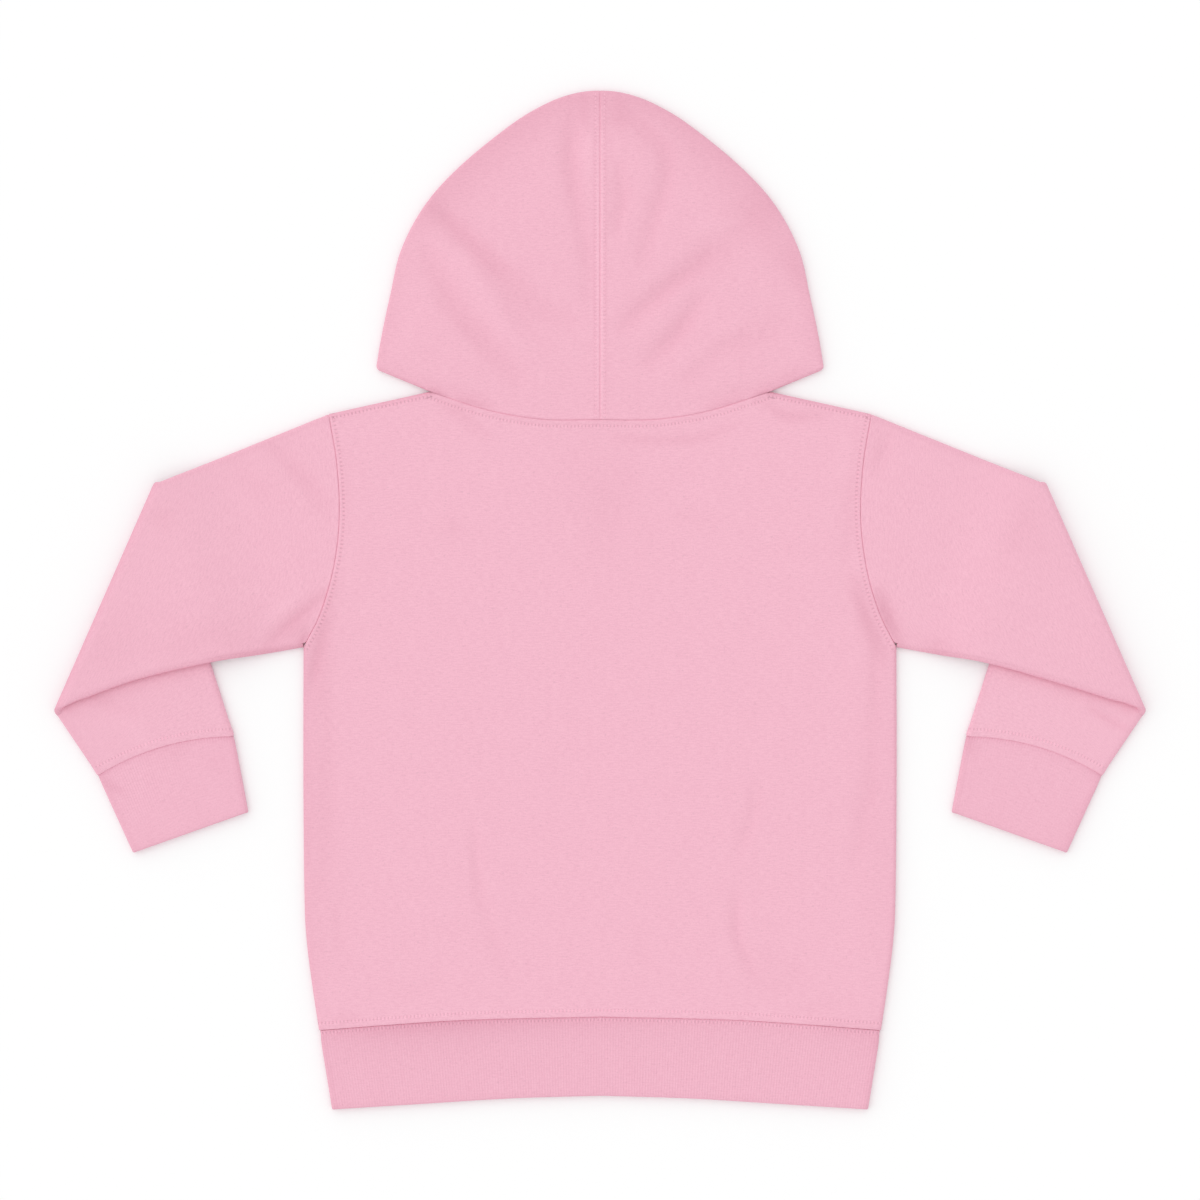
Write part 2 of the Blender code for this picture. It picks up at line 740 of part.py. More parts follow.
def waistband():
    """The waistband of double rib cloth, one flattened tube with upright ribs."""
    seam = smooth_curve(WAIST_SEAM)
    hem = smooth_curve(HEM)
    seam = np.vstack([mirrored(seam[:0:-1]), seam])
    hem = np.vstack([mirrored(hem[:0:-1]), hem])
    seam = seam + [0.0, -GAP / 2]
    across = np.linspace(0, 1, 81)
    shares = spread(2, SEAM_ROLL, SEAM_ROLL, BAND_DEPTH)
    left = np.array([seam[0] + [EDGE_RADIUS, 0.0], hem[0] + [EDGE_RADIUS, 0.0]])
    right = np.array([seam[-1] - [EDGE_RADIUS, 0.0], hem[-1] - [EDGE_RADIUS, 0.0]])
    top = drawn_in(along(seam, across), left[0], right[0])
    low = drawn_in(along(hem, across), left[1], right[1])
    grid = coons(top, low, along(left, shares), along(right, shares))
    across_way = np.array([1.0, 0.0])
    stations = []
    for k, row in enumerate(grid):
        end = k in (0, len(grid) - 1)
        stations.append({"row": row, "drop": SEAM_DROP if end else 0.0,
                         "ends": (-across_way, across_way)})
    width = 2 * WAIST_X
    outer, inner = ribbed_section(int(width / RIB_PITCH), 5, 12, 12, width)
    points, faces = tube_mesh(stations, outer, inner, rib_place)
    add_object("waistband", points, faces, RIB_PINK)


def drawn_in(line, start, end):
    """A polyline squeezed across so that it runs from start to end."""
    share = (line[:, 0] - line[0, 0]) / (line[-1, 0] - line[0, 0])
    x = start[0] + share * (end[0] - start[0])
    return np.column_stack([x, line[:, 1]])


# ---- hood ----

def hood_outline():
    """The hood's folded lower edge, its rounded corner and its side and top, for the +X side."""
    neck = np.array((NECK_X, NECK_Y))
    corner = np.array(HOOD_CORNER)
    run = unit(corner - neck)
    edge = smooth_curve(HOOD_EDGE + mirrored(HOOD_EDGE[-2:-1]))[:-CURVE_STEPS]
    up = unit(edge[CURVE_STEPS // 2] - corner)
    half_turn = 0.5 * math.acos(float(np.dot(run, up)))
    cut = HOOD_CORNER_RADIUS * math.tan(half_turn)
    centre = corner - cut * run + HOOD_CORNER_RADIUS * np.array([-run[1], run[0]])
    start_angle = math.atan2(run[0], -run[1]) - math.pi
    arc = []
    for angle in start_angle + half_turn * np.linspace(0.0, 2.0, 5):
        arc.append(centre + HOOD_CORNER_RADIUS * np.array([math.cos(angle), math.sin(angle)]))
    start = neck + HOOD_CORNER_START * run
    lower = along(np.array([start, arc[0]]), spread(3))
    rest = edge[lengths_along(edge) > cut + LIP]
    rest = np.vstack([arc[-1], rest])
    rest[-1][0] = GAP / 2
    upper = along(rest, spread(28, 0.0, SEAM_ROLL, HOOD_EDGE_LENGTH))
    return lower, np.array(arc), upper


def hood_half(name, side):
    """One half of the hood: upper sheet, folded edge and the hidden sheet below it."""
    lower, arc, upper = hood_outline()
    outline = np.vstack([lower, arc[1:], upper[1:]])
    ways = normals_right(outline)
    ways[-1] = (0.0, 1.0)
    rim = outline - EDGE_RADIUS * ways
    rim[-1][0] = GAP / 2
    corner_at = len(lower) + 1
    neck = smooth_curve(BACK_NECK) + [0.0, GAP]
    neck[0][0] = GAP / 2
    neck_row = along(neck, spread(9, SEAM_ROLL, 0.0, NECK_LENGTH))
    low = np.vstack([neck_row, rim[: corner_at + 1]])
    turn_at = len(rim) - len(low)
    high = rim[turn_at:][::-1]
    right = rim[corner_at: turn_at + 1]
    middle = np.array([neck_row[0], rim[-1]])
    left = along(middle, spread(len(right) - 2, SEAM_ROLL, 0.0, HOOD_HEIGHT))
    top = coons(low, high, left, right)
    build_hood(name, side, top, rim, ways, hood_under(rim, corner_at), (corner_at, turn_at))


def hood_under(rim, corner_at):
    """The hidden sheet: rows from the face opening to the folded edge, from the front neck up."""
    right = rim[corner_at:]
    neck = along(smooth_curve(FRONT_NECK), spread(6)) + [0.0, GAP]
    neck = np.maximum(neck, [GAP / 2, 0.0])
    low = np.vstack([neck[:-1], rim[: corner_at + 1]])
    face = np.maximum(smooth_curve(FACE_EDGE) + [0.0, GAP], [GAP / 2, 0.0])
    left = along(face, lengths_along(right) / lengths_along(right)[-1])
    left[0] = low[0]
    high = along(np.array([left[-1], right[-1]]), lengths_along(low) / lengths_along(low)[-1])
    return coons(low, high, left, right)


def build_hood(name, side, top, rim, ways, under, corners):
    """Outer and inner skins over the same grids, joined along the open edges."""
    corner_at, turn_at = corners
    rim_steps = 5
    key = {}
    outer = []
    inner = []

    def put(tag, out_point, in_point):
        key[tag] = len(outer)
        outer.append(out_point)
        inner.append(in_point)

    rise = hood_rise(top, rim, side)
    seam_drop = hood_seam_drop(top)
    for (j, i), extra in np.ndenumerate(rise):
        x, y = top[j, i]
        high = TUBE + extra
        put(("top", j, i), (x, y, high - seam_drop[j, i]), (x, y, high - FLEECE))
    for k in range(len(rim)):
        for n in range(1, rim_steps):
            angle = math.pi * n / rim_steps
            out = rim[k] + EDGE_RADIUS * math.sin(angle) * ways[k]
            low = rim[k] + GAP / 2 * math.sin(angle) * ways[k]
            out_z = MIDDLE + EDGE_RADIUS * math.cos(angle)
            low_z = MIDDLE + GAP / 2 * math.cos(angle)
            put(("rim", k, n), (out[0], out[1], out_z), (low[0], low[1], low_z))
    for j in range(under.shape[0]):
        for i in range(under.shape[1]):
            x, y = under[j, i]
            put(("under", j, i), (x, y, 0.0), (x, y, FLEECE))

    def rim_key(k, n):
        if n == 0:
            return key[("top",) + rim_place(k, corner_at, turn_at, rise.shape, len(rim))]
        if n == rim_steps:
            return key[("under",) + rim_place(k, corner_at, len(rim), under.shape[:2], len(rim))]
        return key[("rim", k, n)]

    faces = []
    for j in range(top.shape[0] - 1):
        for i in range(top.shape[1] - 1):
            ring = [(j, i), (j, i + 1), (j + 1, i + 1), (j + 1, i)]
            faces.append(tuple(key[("top", a, b)] for a, b in ring))
    for k in range(len(rim) - 1):
        for n in range(rim_steps):
            faces.append((rim_key(k, n), rim_key(k, n + 1), rim_key(k + 1, n + 1), rim_key(k + 1, n)))
    for j in range(under.shape[0] - 1):
        for i in range(under.shape[1] - 1):
            ring = [(j, i), (j + 1, i), (j + 1, i + 1), (j, i + 1)]
            ring = [key[("under", a, b)] for a, b in ring]
            faces.append((ring[0], ring[1], ring[2]))
            faces.append((ring[0], ring[2], ring[3]))
    points, faces = walled(outer, inner, faces)
    points = [(side * x, y, z) for x, y, z in points]
    add_object(name, points, faces, HOOD_PINK, flip=side < 0)


def rim_place(k, corner_at, turn_at, shape, count):
    """The place in a sheet's grid of a point of the folded edge."""
    rows, columns = shape
    if k <= corner_at:
        return (0, columns - 1 - (corner_at - k))
    if k <= turn_at:
        return (k - corner_at, columns - 1)
    return (rows - 1, count - 1 - k)


def hood_rise(top, rim, side):
    """How far the upper sheet stands over its folded edge and its neck seam."""
    edge = np.vstack([smooth_curve(BACK_NECK), rim])
    near = distance_to(edge, top)
    puff = HOOD_PUFF * (1 - (1 - np.clip(near / HOOD_PUFF_RUN, 0.0, 1.0)) ** 2)
    actual = top * [side, 1.0]
    return puff + folds_at(actual, HOOD_FOLDS) * smoothstep(near / HOOD_FOLD_MARGIN)


def hood_seam_drop(top):
    """The roll of the upper sheet into the centre seam and the neck seam."""
    seams = np.vstack([[(0.0, HOOD_TOP_Y)], smooth_curve(BACK_NECK)])
    near = distance_to(seams, top) - GAP / 2
    return SEAM_DROP * np.clip(1 - near / SEAM_ROLL, 0.0, 1.0) ** 2


def walled(outer, inner, faces):
    """Closes two skins over the same faces with a wall along every open edge."""
    shift = len(outer)
    edges = {}
    for face in faces:
        for a, b in zip(face, face[1:] + face[:1]):
            edges[(a, b)] = True
    closed = list(faces)
    closed += [tuple(shift + v for v in reversed(face)) for face in faces]
    for a, b in edges:
        if (b, a) not in edges:
            closed.append((b, a, shift + a, shift + b))
    return outer + inner, closed


# ---- the whole garment ----

def clear_scene():
    for item in list(bpy.data.objects):
        bpy.data.objects.remove(item, do_unlink=True)


def build():
    clear_scene()
    panel("front_panel", FRONT_NECK, (6, 8), (6, 3), FLEECE, [], False)
    panel("back_panel", BACK_NECK, (10, 16), (8, 5), FLEECE + GAP, BODY_FOLDS, True)
    waistband()
    hood_half("hood_left", -1)
    hood_half("hood_right", 1)
    for side, word in ((-1, "left"), (1, "right")):
        sleeve("sleeve_" + word, side)
        cuff("cuff_" + word, side)


build()
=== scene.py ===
import math

import bpy
import numpy as np
from mathutils import Matrix, Vector, noise
from mathutils.bvhtree import BVHTree


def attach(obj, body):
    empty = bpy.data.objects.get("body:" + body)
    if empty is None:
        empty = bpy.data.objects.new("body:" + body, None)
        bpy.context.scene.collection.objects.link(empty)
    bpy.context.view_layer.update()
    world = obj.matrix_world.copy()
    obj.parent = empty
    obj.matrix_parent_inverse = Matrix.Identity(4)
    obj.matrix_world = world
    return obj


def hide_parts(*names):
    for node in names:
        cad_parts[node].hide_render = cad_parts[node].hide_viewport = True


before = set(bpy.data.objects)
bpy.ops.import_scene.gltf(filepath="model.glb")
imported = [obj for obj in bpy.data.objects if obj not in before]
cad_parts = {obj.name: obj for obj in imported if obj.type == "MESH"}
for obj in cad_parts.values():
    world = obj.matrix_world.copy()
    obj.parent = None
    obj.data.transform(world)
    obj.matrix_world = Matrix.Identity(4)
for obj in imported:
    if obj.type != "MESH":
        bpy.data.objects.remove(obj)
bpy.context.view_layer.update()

mm = 0.001  # the garment is drawn in millimetres

cloth = {
    "curveSteps": 12,  # between two given points of an outline
    "thick": 2.0,
    "tube": 4.3,  # two layers with the air between them
    "edge": 2.15,  # radius of a folded edge
    "merge": 0.02,
    "sharp": 60,  # degrees
    "lifted": 4.6,  # how far the forearm lifts the upper arm
    "foldAxis": 4.45,  # middle height of the turn at the elbow
    "troughPaintedShade": 0.6,  # painted shade in a trough, for each mm of its depth
    "nearSeam": (0, 0.18, 0.4, 0.7, 1.05, 1.4, 1.8, 2.2, 2.6, 3.0, 3.4, 3.8, 4.2, 4.7, 5.3, 6.0, 7.0),
}


def smoothCurve(points, steps=cloth["curveSteps"]):
    given = np.array(points, dtype=float)
    ends = np.vstack([2 * given[0] - given[1], given, 2 * given[-1] - given[-2]])
    t = (np.arange(steps) / steps)[:, None]
    parts = []
    for a, b, c, d in zip(ends[:-3], ends[1:-2], ends[2:-1], ends[3:]):
        parts.append(0.5 * (2 * b + (c - a) * t + (2 * a - 5 * b + 4 * c - d) * t ** 2
                            + (3 * b - a - 3 * c + d) * t ** 3))
    return np.vstack(parts + [given[-1:]])


def runOf(line):
    return np.concatenate([[0.0], np.cumsum(np.linalg.norm(np.diff(line, axis=0), axis=1))])


def atShares(line, shares):
    run = runOf(line)
    wanted = np.asarray(shares, dtype=float) * run[-1]
    return np.column_stack([np.interp(wanted, run, line[:, k]) for k in range(line.shape[1])])


def graded(length, step, first=(0,), last=(0,)):  # shares in even steps, finer near the ends
    low, high = first[-1], length - last[-1]
    middle = np.linspace(low, high, max(2, round((high - low) / step) + 1))
    return np.concatenate([first[:-1], middle, length - np.array(last[-2::-1], dtype=float)]) / length


def mirrored(line):
    return np.array(line, dtype=float)[::-1] * [-1.0, 1.0]


def wholeLine(half):  # both halves of a line given from its middle outwards
    line = smoothCurve(half)
    return np.vstack([mirrored(line)[:-1], line])


def unit(vector):
    return np.array(vector, dtype=float) / np.linalg.norm(vector)


def leftOf(way):  # square to it
    return np.array([-way[1], way[0]])


def rightOf(line):  # the same all along a line, on its right
    run = np.gradient(line, runOf(line), axis=0)
    run = run / np.linalg.norm(run, axis=1)[:, None]
    return np.column_stack([run[:, 1], -run[:, 0]])


def steadyRight(line, reach):  # the same, from points a little way before and after
    shares = runOf(line) / runOf(line)[-1]
    step = reach / runOf(line)[-1]
    ahead = atShares(line, np.minimum(shares + step, 1.0))
    run = ahead - atShares(line, np.maximum(shares - step, 0.0))
    run = run / np.linalg.norm(run, axis=1)[:, None]
    return np.column_stack([run[:, 1], -run[:, 0]])


def nearest(line, points):  # distance to a line, and the share of its length there
    flat = points.reshape(-1, 2)
    starts = line[:-1]
    runs = np.diff(line, axis=0)
    squares = np.maximum((runs ** 2).sum(axis=1), 1e-12)
    lengths = runOf(line)
    away = np.empty(len(flat))
    share = np.empty(len(flat))
    for k in range(0, len(flat), 4000):
        offset = flat[k:k + 4000, None] - starts[None]
        t = np.clip((offset * runs).sum(axis=2) / squares, 0.0, 1.0)
        gap = np.linalg.norm(offset - t[..., None] * runs, axis=2)
        best = gap.argmin(axis=1)
        rows = np.arange(len(best))
        away[k:k + 4000] = gap[rows, best]
        share[k:k + 4000] = (lengths[best] + t[rows, best] * np.sqrt(squares[best])) / lengths[-1]
    return away.reshape(points.shape[:-1]), share.reshape(points.shape[:-1])


def awayFrom(line, points):
    return nearest(line, points)[0]


def patch(low, high, left, right):  # a grid of points between four sides
    def share(line):
        return runOf(line) / runOf(line)[-1]
    v = (0.5 * (share(left) + share(right)))[:, None]
    u = (1 - v) * share(low)[None] + v * share(high)[None]
    v = (1 - u) * share(left)[:, None] + u * share(right)[:, None]
    u, v = u[..., None], v[..., None]
    across = (1 - v) * low[None] + v * high[None]
    up = (1 - u) * left[:, None] + u * right[:, None]
    corners = (1 - v) * ((1 - u) * low[0] + u * low[-1]) + v * ((1 - u) * high[0] + u * high[-1])
    return across + up - corners


def smoothstep(t):
    t = np.clip(t, 0.0, 1.0)
    return t * t * (3 - 2 * t)


def relief(away, table):  # height over the plain cloth at a distance from a seam
    return np.interp(away, [row[0] for row in table], [row[1] for row in table])


def foldsAt(points, folds):  # troughs, and ridges where the depth is negative
    lift = np.zeros(points.shape[:-1])
    for line, width, depth in folds:
        away, share = nearest(smoothCurve(line, 6), points)
        taper = 0.5 + 0.5 * np.sin(math.pi * share)
        lift -= depth * taper * np.exp(-(away / width) ** 2)
    return lift


def unevenness(points, height, size, seed):
    flat = points.reshape(-1, 2) / size
    lift = [noise.noise(Vector((x, y, seed))) for x, y in flat]
    return height * np.array(lift).reshape(points.shape[:-1])


def turnedOver(marks, share=1.0):  # creases or painted shade of the other side
    return [([(-x, y) for x, y in line], width, share * amount) for line, width, amount in marks]


def bothSides(marks):
    return marks + turnedOver(marks)


def hiddenFolds(folds, share):  # weaker troughs for cloth that isn't seen
    return turnedOver([mark for mark in folds if mark[2] > 0], share)


def rowMap(points, rows):  # stitches along the nearest stitch row, and millimetres away from it
    nearestRow = np.full(points.shape[:-1] + (2,), 99.0)
    for line, pitch in rows:
        away, share = nearest(line, points)
        closer = away < nearestRow[..., 1]
        nearestRow[closer] = np.stack([share * round(runOf(line)[-1] / pitch), away], axis=-1)[closer]
    return nearestRow


def setMap(mesh, name, values):
    corners = np.empty(len(mesh.loops), dtype=np.int32)
    mesh.loops.foreach_get("vertex_index", corners)
    mesh.uv_layers[name].data.foreach_set("uv", values.reshape(-1, 2)[corners].ravel())


def clothGrid(name, points, weave, stitchRows=(), paintedShade=0.0):
    rows, columns = points.shape[:2]
    bpy.ops.mesh.primitive_grid_add(x_subdivisions=columns - 1, y_subdivisions=rows - 1)
    piece = bpy.context.object
    piece.name = name
    mesh = piece.data
    mesh.vertices.foreach_set("co", (points * mm).ravel())
    mesh.uv_layers[0].name = "weave"
    setMap(mesh, "weave", weave * mm)
    mesh.uv_layers.new(name="rows")
    setMap(mesh, "rows", rowMap(points[..., :2], stitchRows))
    # painted shade: how much darker the colour is painted at each point where less light would fall;
    # negative values are painted highlight
    shade = np.broadcast_to(paintedShade, points.shape[:-1]).ravel()
    mesh.attributes.new("paintedShade", "FLOAT", "POINT").data.foreach_set("value", shade)
    mesh.update()
    return piece


def selectOnly(pieces):
    bpy.ops.object.select_all(action="DESELECT")
    for piece in pieces:
        piece.select_set(True)
    bpy.context.view_layer.objects.active = pieces[0]


def joined(pieces, name):
    selectOnly(pieces)
    bpy.ops.object.join()
    whole = bpy.context.object
    whole.name = name
    return whole


def closeUp(piece):  # merge what meets and turn every face outwards
    bpy.context.view_layer.objects.active = piece
    bpy.ops.object.mode_set(mode="EDIT")
    bpy.ops.mesh.select_all(action="SELECT")
    bpy.ops.mesh.remove_doubles(threshold=cloth["merge"] * mm)
    bpy.ops.mesh.normals_make_consistent(inside=False)
    bpy.ops.object.mode_set(mode="OBJECT")


def finishPiece(piece, look, node):
    piece.data.materials.clear()
    piece.data.materials.append(look)
    selectOnly([piece])
    bpy.ops.object.shade_smooth_by_angle(angle=math.radians(cloth["sharp"]))
    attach(piece, "root")
    if node:
        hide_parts(node)


# looks

yarn = {
    # of the noise: scale in 1/mm and stretch, the last one for the flecks
    "clouds": [(1.2, (1, 1, 1)), (1.3, (0.2, 1, 1)), (0.09, (1, 1, 1)), (0.75, (0.7, 1, 1))],
    "shares": (0.45, 0.47, 0.08),
    "mix": (0.36, 0.64),
    "fleckRange": (0.6, 0.7),
    "fleck": 0.06,
    "row": 0.07,  # painted highlight: how much paler a stitch row is painted
    # painted shade in the needle holes: how much darker they are painted
    "hole": -0.18,
    "holeAlong": (0.08, 0.3),  # in stitches
    "holeAcross": (0.35, 1.0),
    "holeDepth": -1.6,
    "lean": 1.1,  # of a stitch's leg
    "leg": 0.25,
    # painted shade: how much each colour channel drops for one unit of painted shade
    "paintedShade": (-0.055, -0.095, -0.082),
}


def newGroup(name, inputs, output):
    group = bpy.data.node_groups.new(name, "ShaderNodeTree")
    for title, kind, value in inputs:
        socket = group.interface.new_socket(title, in_out="INPUT", socket_type=kind)
        if value is not None:
            socket.default_value = value
    group.interface.new_socket(output[0], in_out="OUTPUT", socket_type=output[1])
    return group, group.nodes.new("NodeGroupInput"), group.nodes.new("NodeGroupOutput")


def setInputs(node, values):
    for title, value in values.items():
        node.inputs[title].default_value = value


def feed(group, node, values):  # fixed values are set, and sockets are linked
    for k, value in enumerate(values):
        if isinstance(value, (int, float, tuple)):
            node.inputs[k].default_value = value
        elif value is not None:
            group.links.new(value, node.inputs[k])
    return node.outputs[0]


def mathNode(group, operation, a, b=None, c=None):
    node = group.nodes.new("ShaderNodeMath")
    node.operation = operation
    return feed(group, node, (a, b, c))


def vectorNode(group, operation, a, b, c=None):
    node = group.nodes.new("ShaderNodeVectorMath")
    node.operation = operation
    return feed(group, node, (a, b, c))


def fade(group, value, low, high):  # 1 below low, 0 above high
    node = group.nodes.new("ShaderNodeMapRange")
    node.interpolation_type = "SMOOTHSTEP"
    group.links.new(value, node.inputs["Value"])
    setInputs(node, {"From Min": low, "From Max": high, "To Min": 1.0, "To Max": 0.0})
    return node.outputs["Result"]


def rowShares(group, rows):  # near a needle hole, and near the stitch row
    split = group.nodes.new("ShaderNodeSeparateXYZ")
    group.links.new(rows, split.inputs[0])
    along = fade(group, mathNode(group, "PINGPONG", split.outputs[0], 0.5), *yarn["holeAlong"])
    across = fade(group, split.outputs[1], *yarn["holeAcross"])
    return mathNode(group, "MULTIPLY", along, across), across


def knitGroup():  # rows of V stitches
    group, given, out = newGroup("knitFace", [
        ("Vector", "NodeSocketVector", None),
        ("Rows", "NodeSocketVector", None),
        ("Wale", "NodeSocketFloat", 1.0),
        ("Course", "NodeSocketFloat", 0.8),
        ("Holes", "NodeSocketFloat", 1.0),
    ], ("Height", "NodeSocketFloat"))
    split = group.nodes.new("ShaderNodeSeparateXYZ")
    group.links.new(given.outputs["Vector"], split.inputs[0])
    wale = mathNode(group, "DIVIDE", split.outputs[0], given.outputs["Wale"])
    course = mathNode(group, "DIVIDE", split.outputs[1], given.outputs["Course"])
    side = mathNode(group, "PINGPONG", wale, 0.5)
    lean = mathNode(group, "MULTIPLY_ADD", side, yarn["lean"], course)
    leg = mathNode(group, "SINE", mathNode(group, "MULTIPLY", lean, 2 * math.pi))
    column = mathNode(group, "SINE", mathNode(group, "MULTIPLY", side, 2 * math.pi))
    height = mathNode(group, "MULTIPLY_ADD", leg, yarn["leg"], 0.5)
    face = mathNode(group, "MULTIPLY", height, column)
    hole = rowShares(group, given.outputs["Rows"])[0]
    hole = mathNode(group, "MULTIPLY", hole, given.outputs["Holes"])
    height = mathNode(group, "MULTIPLY_ADD", hole, yarn["holeDepth"], face)
    group.links.new(height, out.inputs["Height"])
    return group


def speckleGroup():  # uneven yarn in the colour, with painted shade in creases, folds and needle holes and painted highlight along stitch rows
    group, given, out = newGroup("yarnColourAndPaintedShade", [
        ("Vector", "NodeSocketVector", None),
        ("Rows", "NodeSocketVector", None),
        ("PaintedShade", "NodeSocketFloat", 0.0),
        ("Holes", "NodeSocketFloat", 1.0),
        ("Light", "NodeSocketColor", (0.8, 0.4, 0.5, 1.0)),
        ("Dark", "NodeSocketColor", (0.7, 0.3, 0.4, 1.0)),
    ], ("Color", "NodeSocketColor"))
    clouds = []
    for scale, stretch in yarn["clouds"]:
        place = group.nodes.new("ShaderNodeMapping")
        setInputs(place, {"Scale": stretch})
        group.links.new(given.outputs["Vector"], place.inputs["Vector"])
        cloud = group.nodes.new("ShaderNodeTexNoise")
        setInputs(cloud, {"Scale": scale / mm, "Detail": 2.0})
        group.links.new(place.outputs["Vector"], cloud.inputs["Vector"])
        clouds.append(cloud.outputs[0])
    share = mathNode(group, "MULTIPLY", clouds[0], yarn["shares"][0])
    share = mathNode(group, "MULTIPLY_ADD", clouds[1], yarn["shares"][1], share)
    share = mathNode(group, "MULTIPLY_ADD", clouds[2], yarn["shares"][2], share)
    mix = group.nodes.new("ShaderNodeMix")
    mix.data_type = "RGBA"
    group.links.new(fade(group, share, *yarn["mix"]), mix.inputs[0])
    group.links.new(given.outputs["Light"], mix.inputs[6])
    group.links.new(given.outputs["Dark"], mix.inputs[7])
    fleck = fade(group, clouds[3], *yarn["fleckRange"])  # a few darker flecks
    hole, row = rowShares(group, given.outputs["Rows"])
    shade = mathNode(group, "MULTIPLY_ADD", fleck, yarn["fleck"], 1 - yarn["fleck"])
    # painted highlight along the stitch rows and painted shade in the needle holes
    for part, amount in ((row, yarn["row"]), (hole, yarn["hole"])):
        part = mathNode(group, "MULTIPLY", part, given.outputs["Holes"])
        shade = mathNode(group, "MULTIPLY_ADD", part, amount, shade)
    # painted shade deepens the colour here, and painted highlight pales it
    paintedShadeIn = given.outputs["PaintedShade"]
    paintedShadeFactor = vectorNode(group, "MULTIPLY_ADD", paintedShadeIn, yarn["paintedShade"], (1.0, 1.0, 1.0))
    paintedShadeColour = vectorNode(group, "MULTIPLY", mix.outputs[2], paintedShadeFactor)
    group.links.new(vectorNode(group, "MULTIPLY", paintedShadeColour, shade), out.inputs["Color"])
    return group


def clothLook(name, light, dark, wale, course, depth, holes):
    look = bpy.data.materials.new(name)
    look.use_nodes = True
    tree = look.node_tree
    shader = tree.nodes["Principled BSDF"]
    setInputs(shader, {"Roughness": 0.95, "Specular IOR Level": 0.2, "Sheen Weight": 0.04,
                       "Sheen Roughness": 0.6, "Sheen Tint": (1.0, 0.85, 0.9, 1.0)})
    weave = tree.nodes.new("ShaderNodeUVMap")
    weave.uv_map = "weave"
    rows = tree.nodes.new("ShaderNodeUVMap")
    rows.uv_map = "rows"
    # painted shade and painted highlight stored on the points
    paintedShade = tree.nodes.new("ShaderNodeAttribute")
    paintedShade.attribute_name = "paintedShade"
    colour = tree.nodes.new("ShaderNodeGroup")
    colour.node_tree = groups["colour"]
    setInputs(colour, {"Light": (*light, 1.0), "Dark": (*dark, 1.0)})
    tree.links.new(paintedShade.outputs["Fac"], colour.inputs["PaintedShade"])
    tree.links.new(colour.outputs["Color"], shader.inputs["Base Color"])
    knit = tree.nodes.new("ShaderNodeGroup")
    knit.node_tree = groups["knit"]
    setInputs(knit, {"Wale": wale * mm, "Course": course * mm})
    for node in (colour, knit):
        setInputs(node, {"Holes": holes})
        tree.links.new(weave.outputs["UV"], node.inputs["Vector"])
        tree.links.new(rows.outputs["UV"], node.inputs["Rows"])
    bump = tree.nodes.new("ShaderNodeBump")
    setInputs(bump, {"Strength": 0.7, "Distance": depth * mm})
    tree.links.new(knit.outputs["Height"], bump.inputs["Height"])
    tree.links.new(bump.outputs["Normal"], shader.inputs["Normal"])
    return look


groups = {"knit": knitGroup(), "colour": speckleGroup()}
finishes = {  # name, light and dark yarn, then wale, course, depth, and strength of the needle holes
    "fleece": ("fleece", (0.909, 0.507, 0.615), (0.845, 0.446, 0.556), 0.95, 0.75, 0.10, 1.0),
    "hood": ("hoodFleece", (0.907, 0.503, 0.611), (0.843, 0.443, 0.553), 0.95, 0.75, 0.10, 0.5),
    "rib": ("ribCloth", (0.888, 0.487, 0.597), (0.838, 0.44, 0.55), 0.79, 0.75, 0.08, 1.0),
    "thread": ("thread", (0.93, 0.54, 0.65), (0.89, 0.50, 0.61), 0.30, 0.30, 0.03, 0.0),
}
looks = {key: clothLook(*values) for key, values in finishes.items()}
print("looks ready")

# body

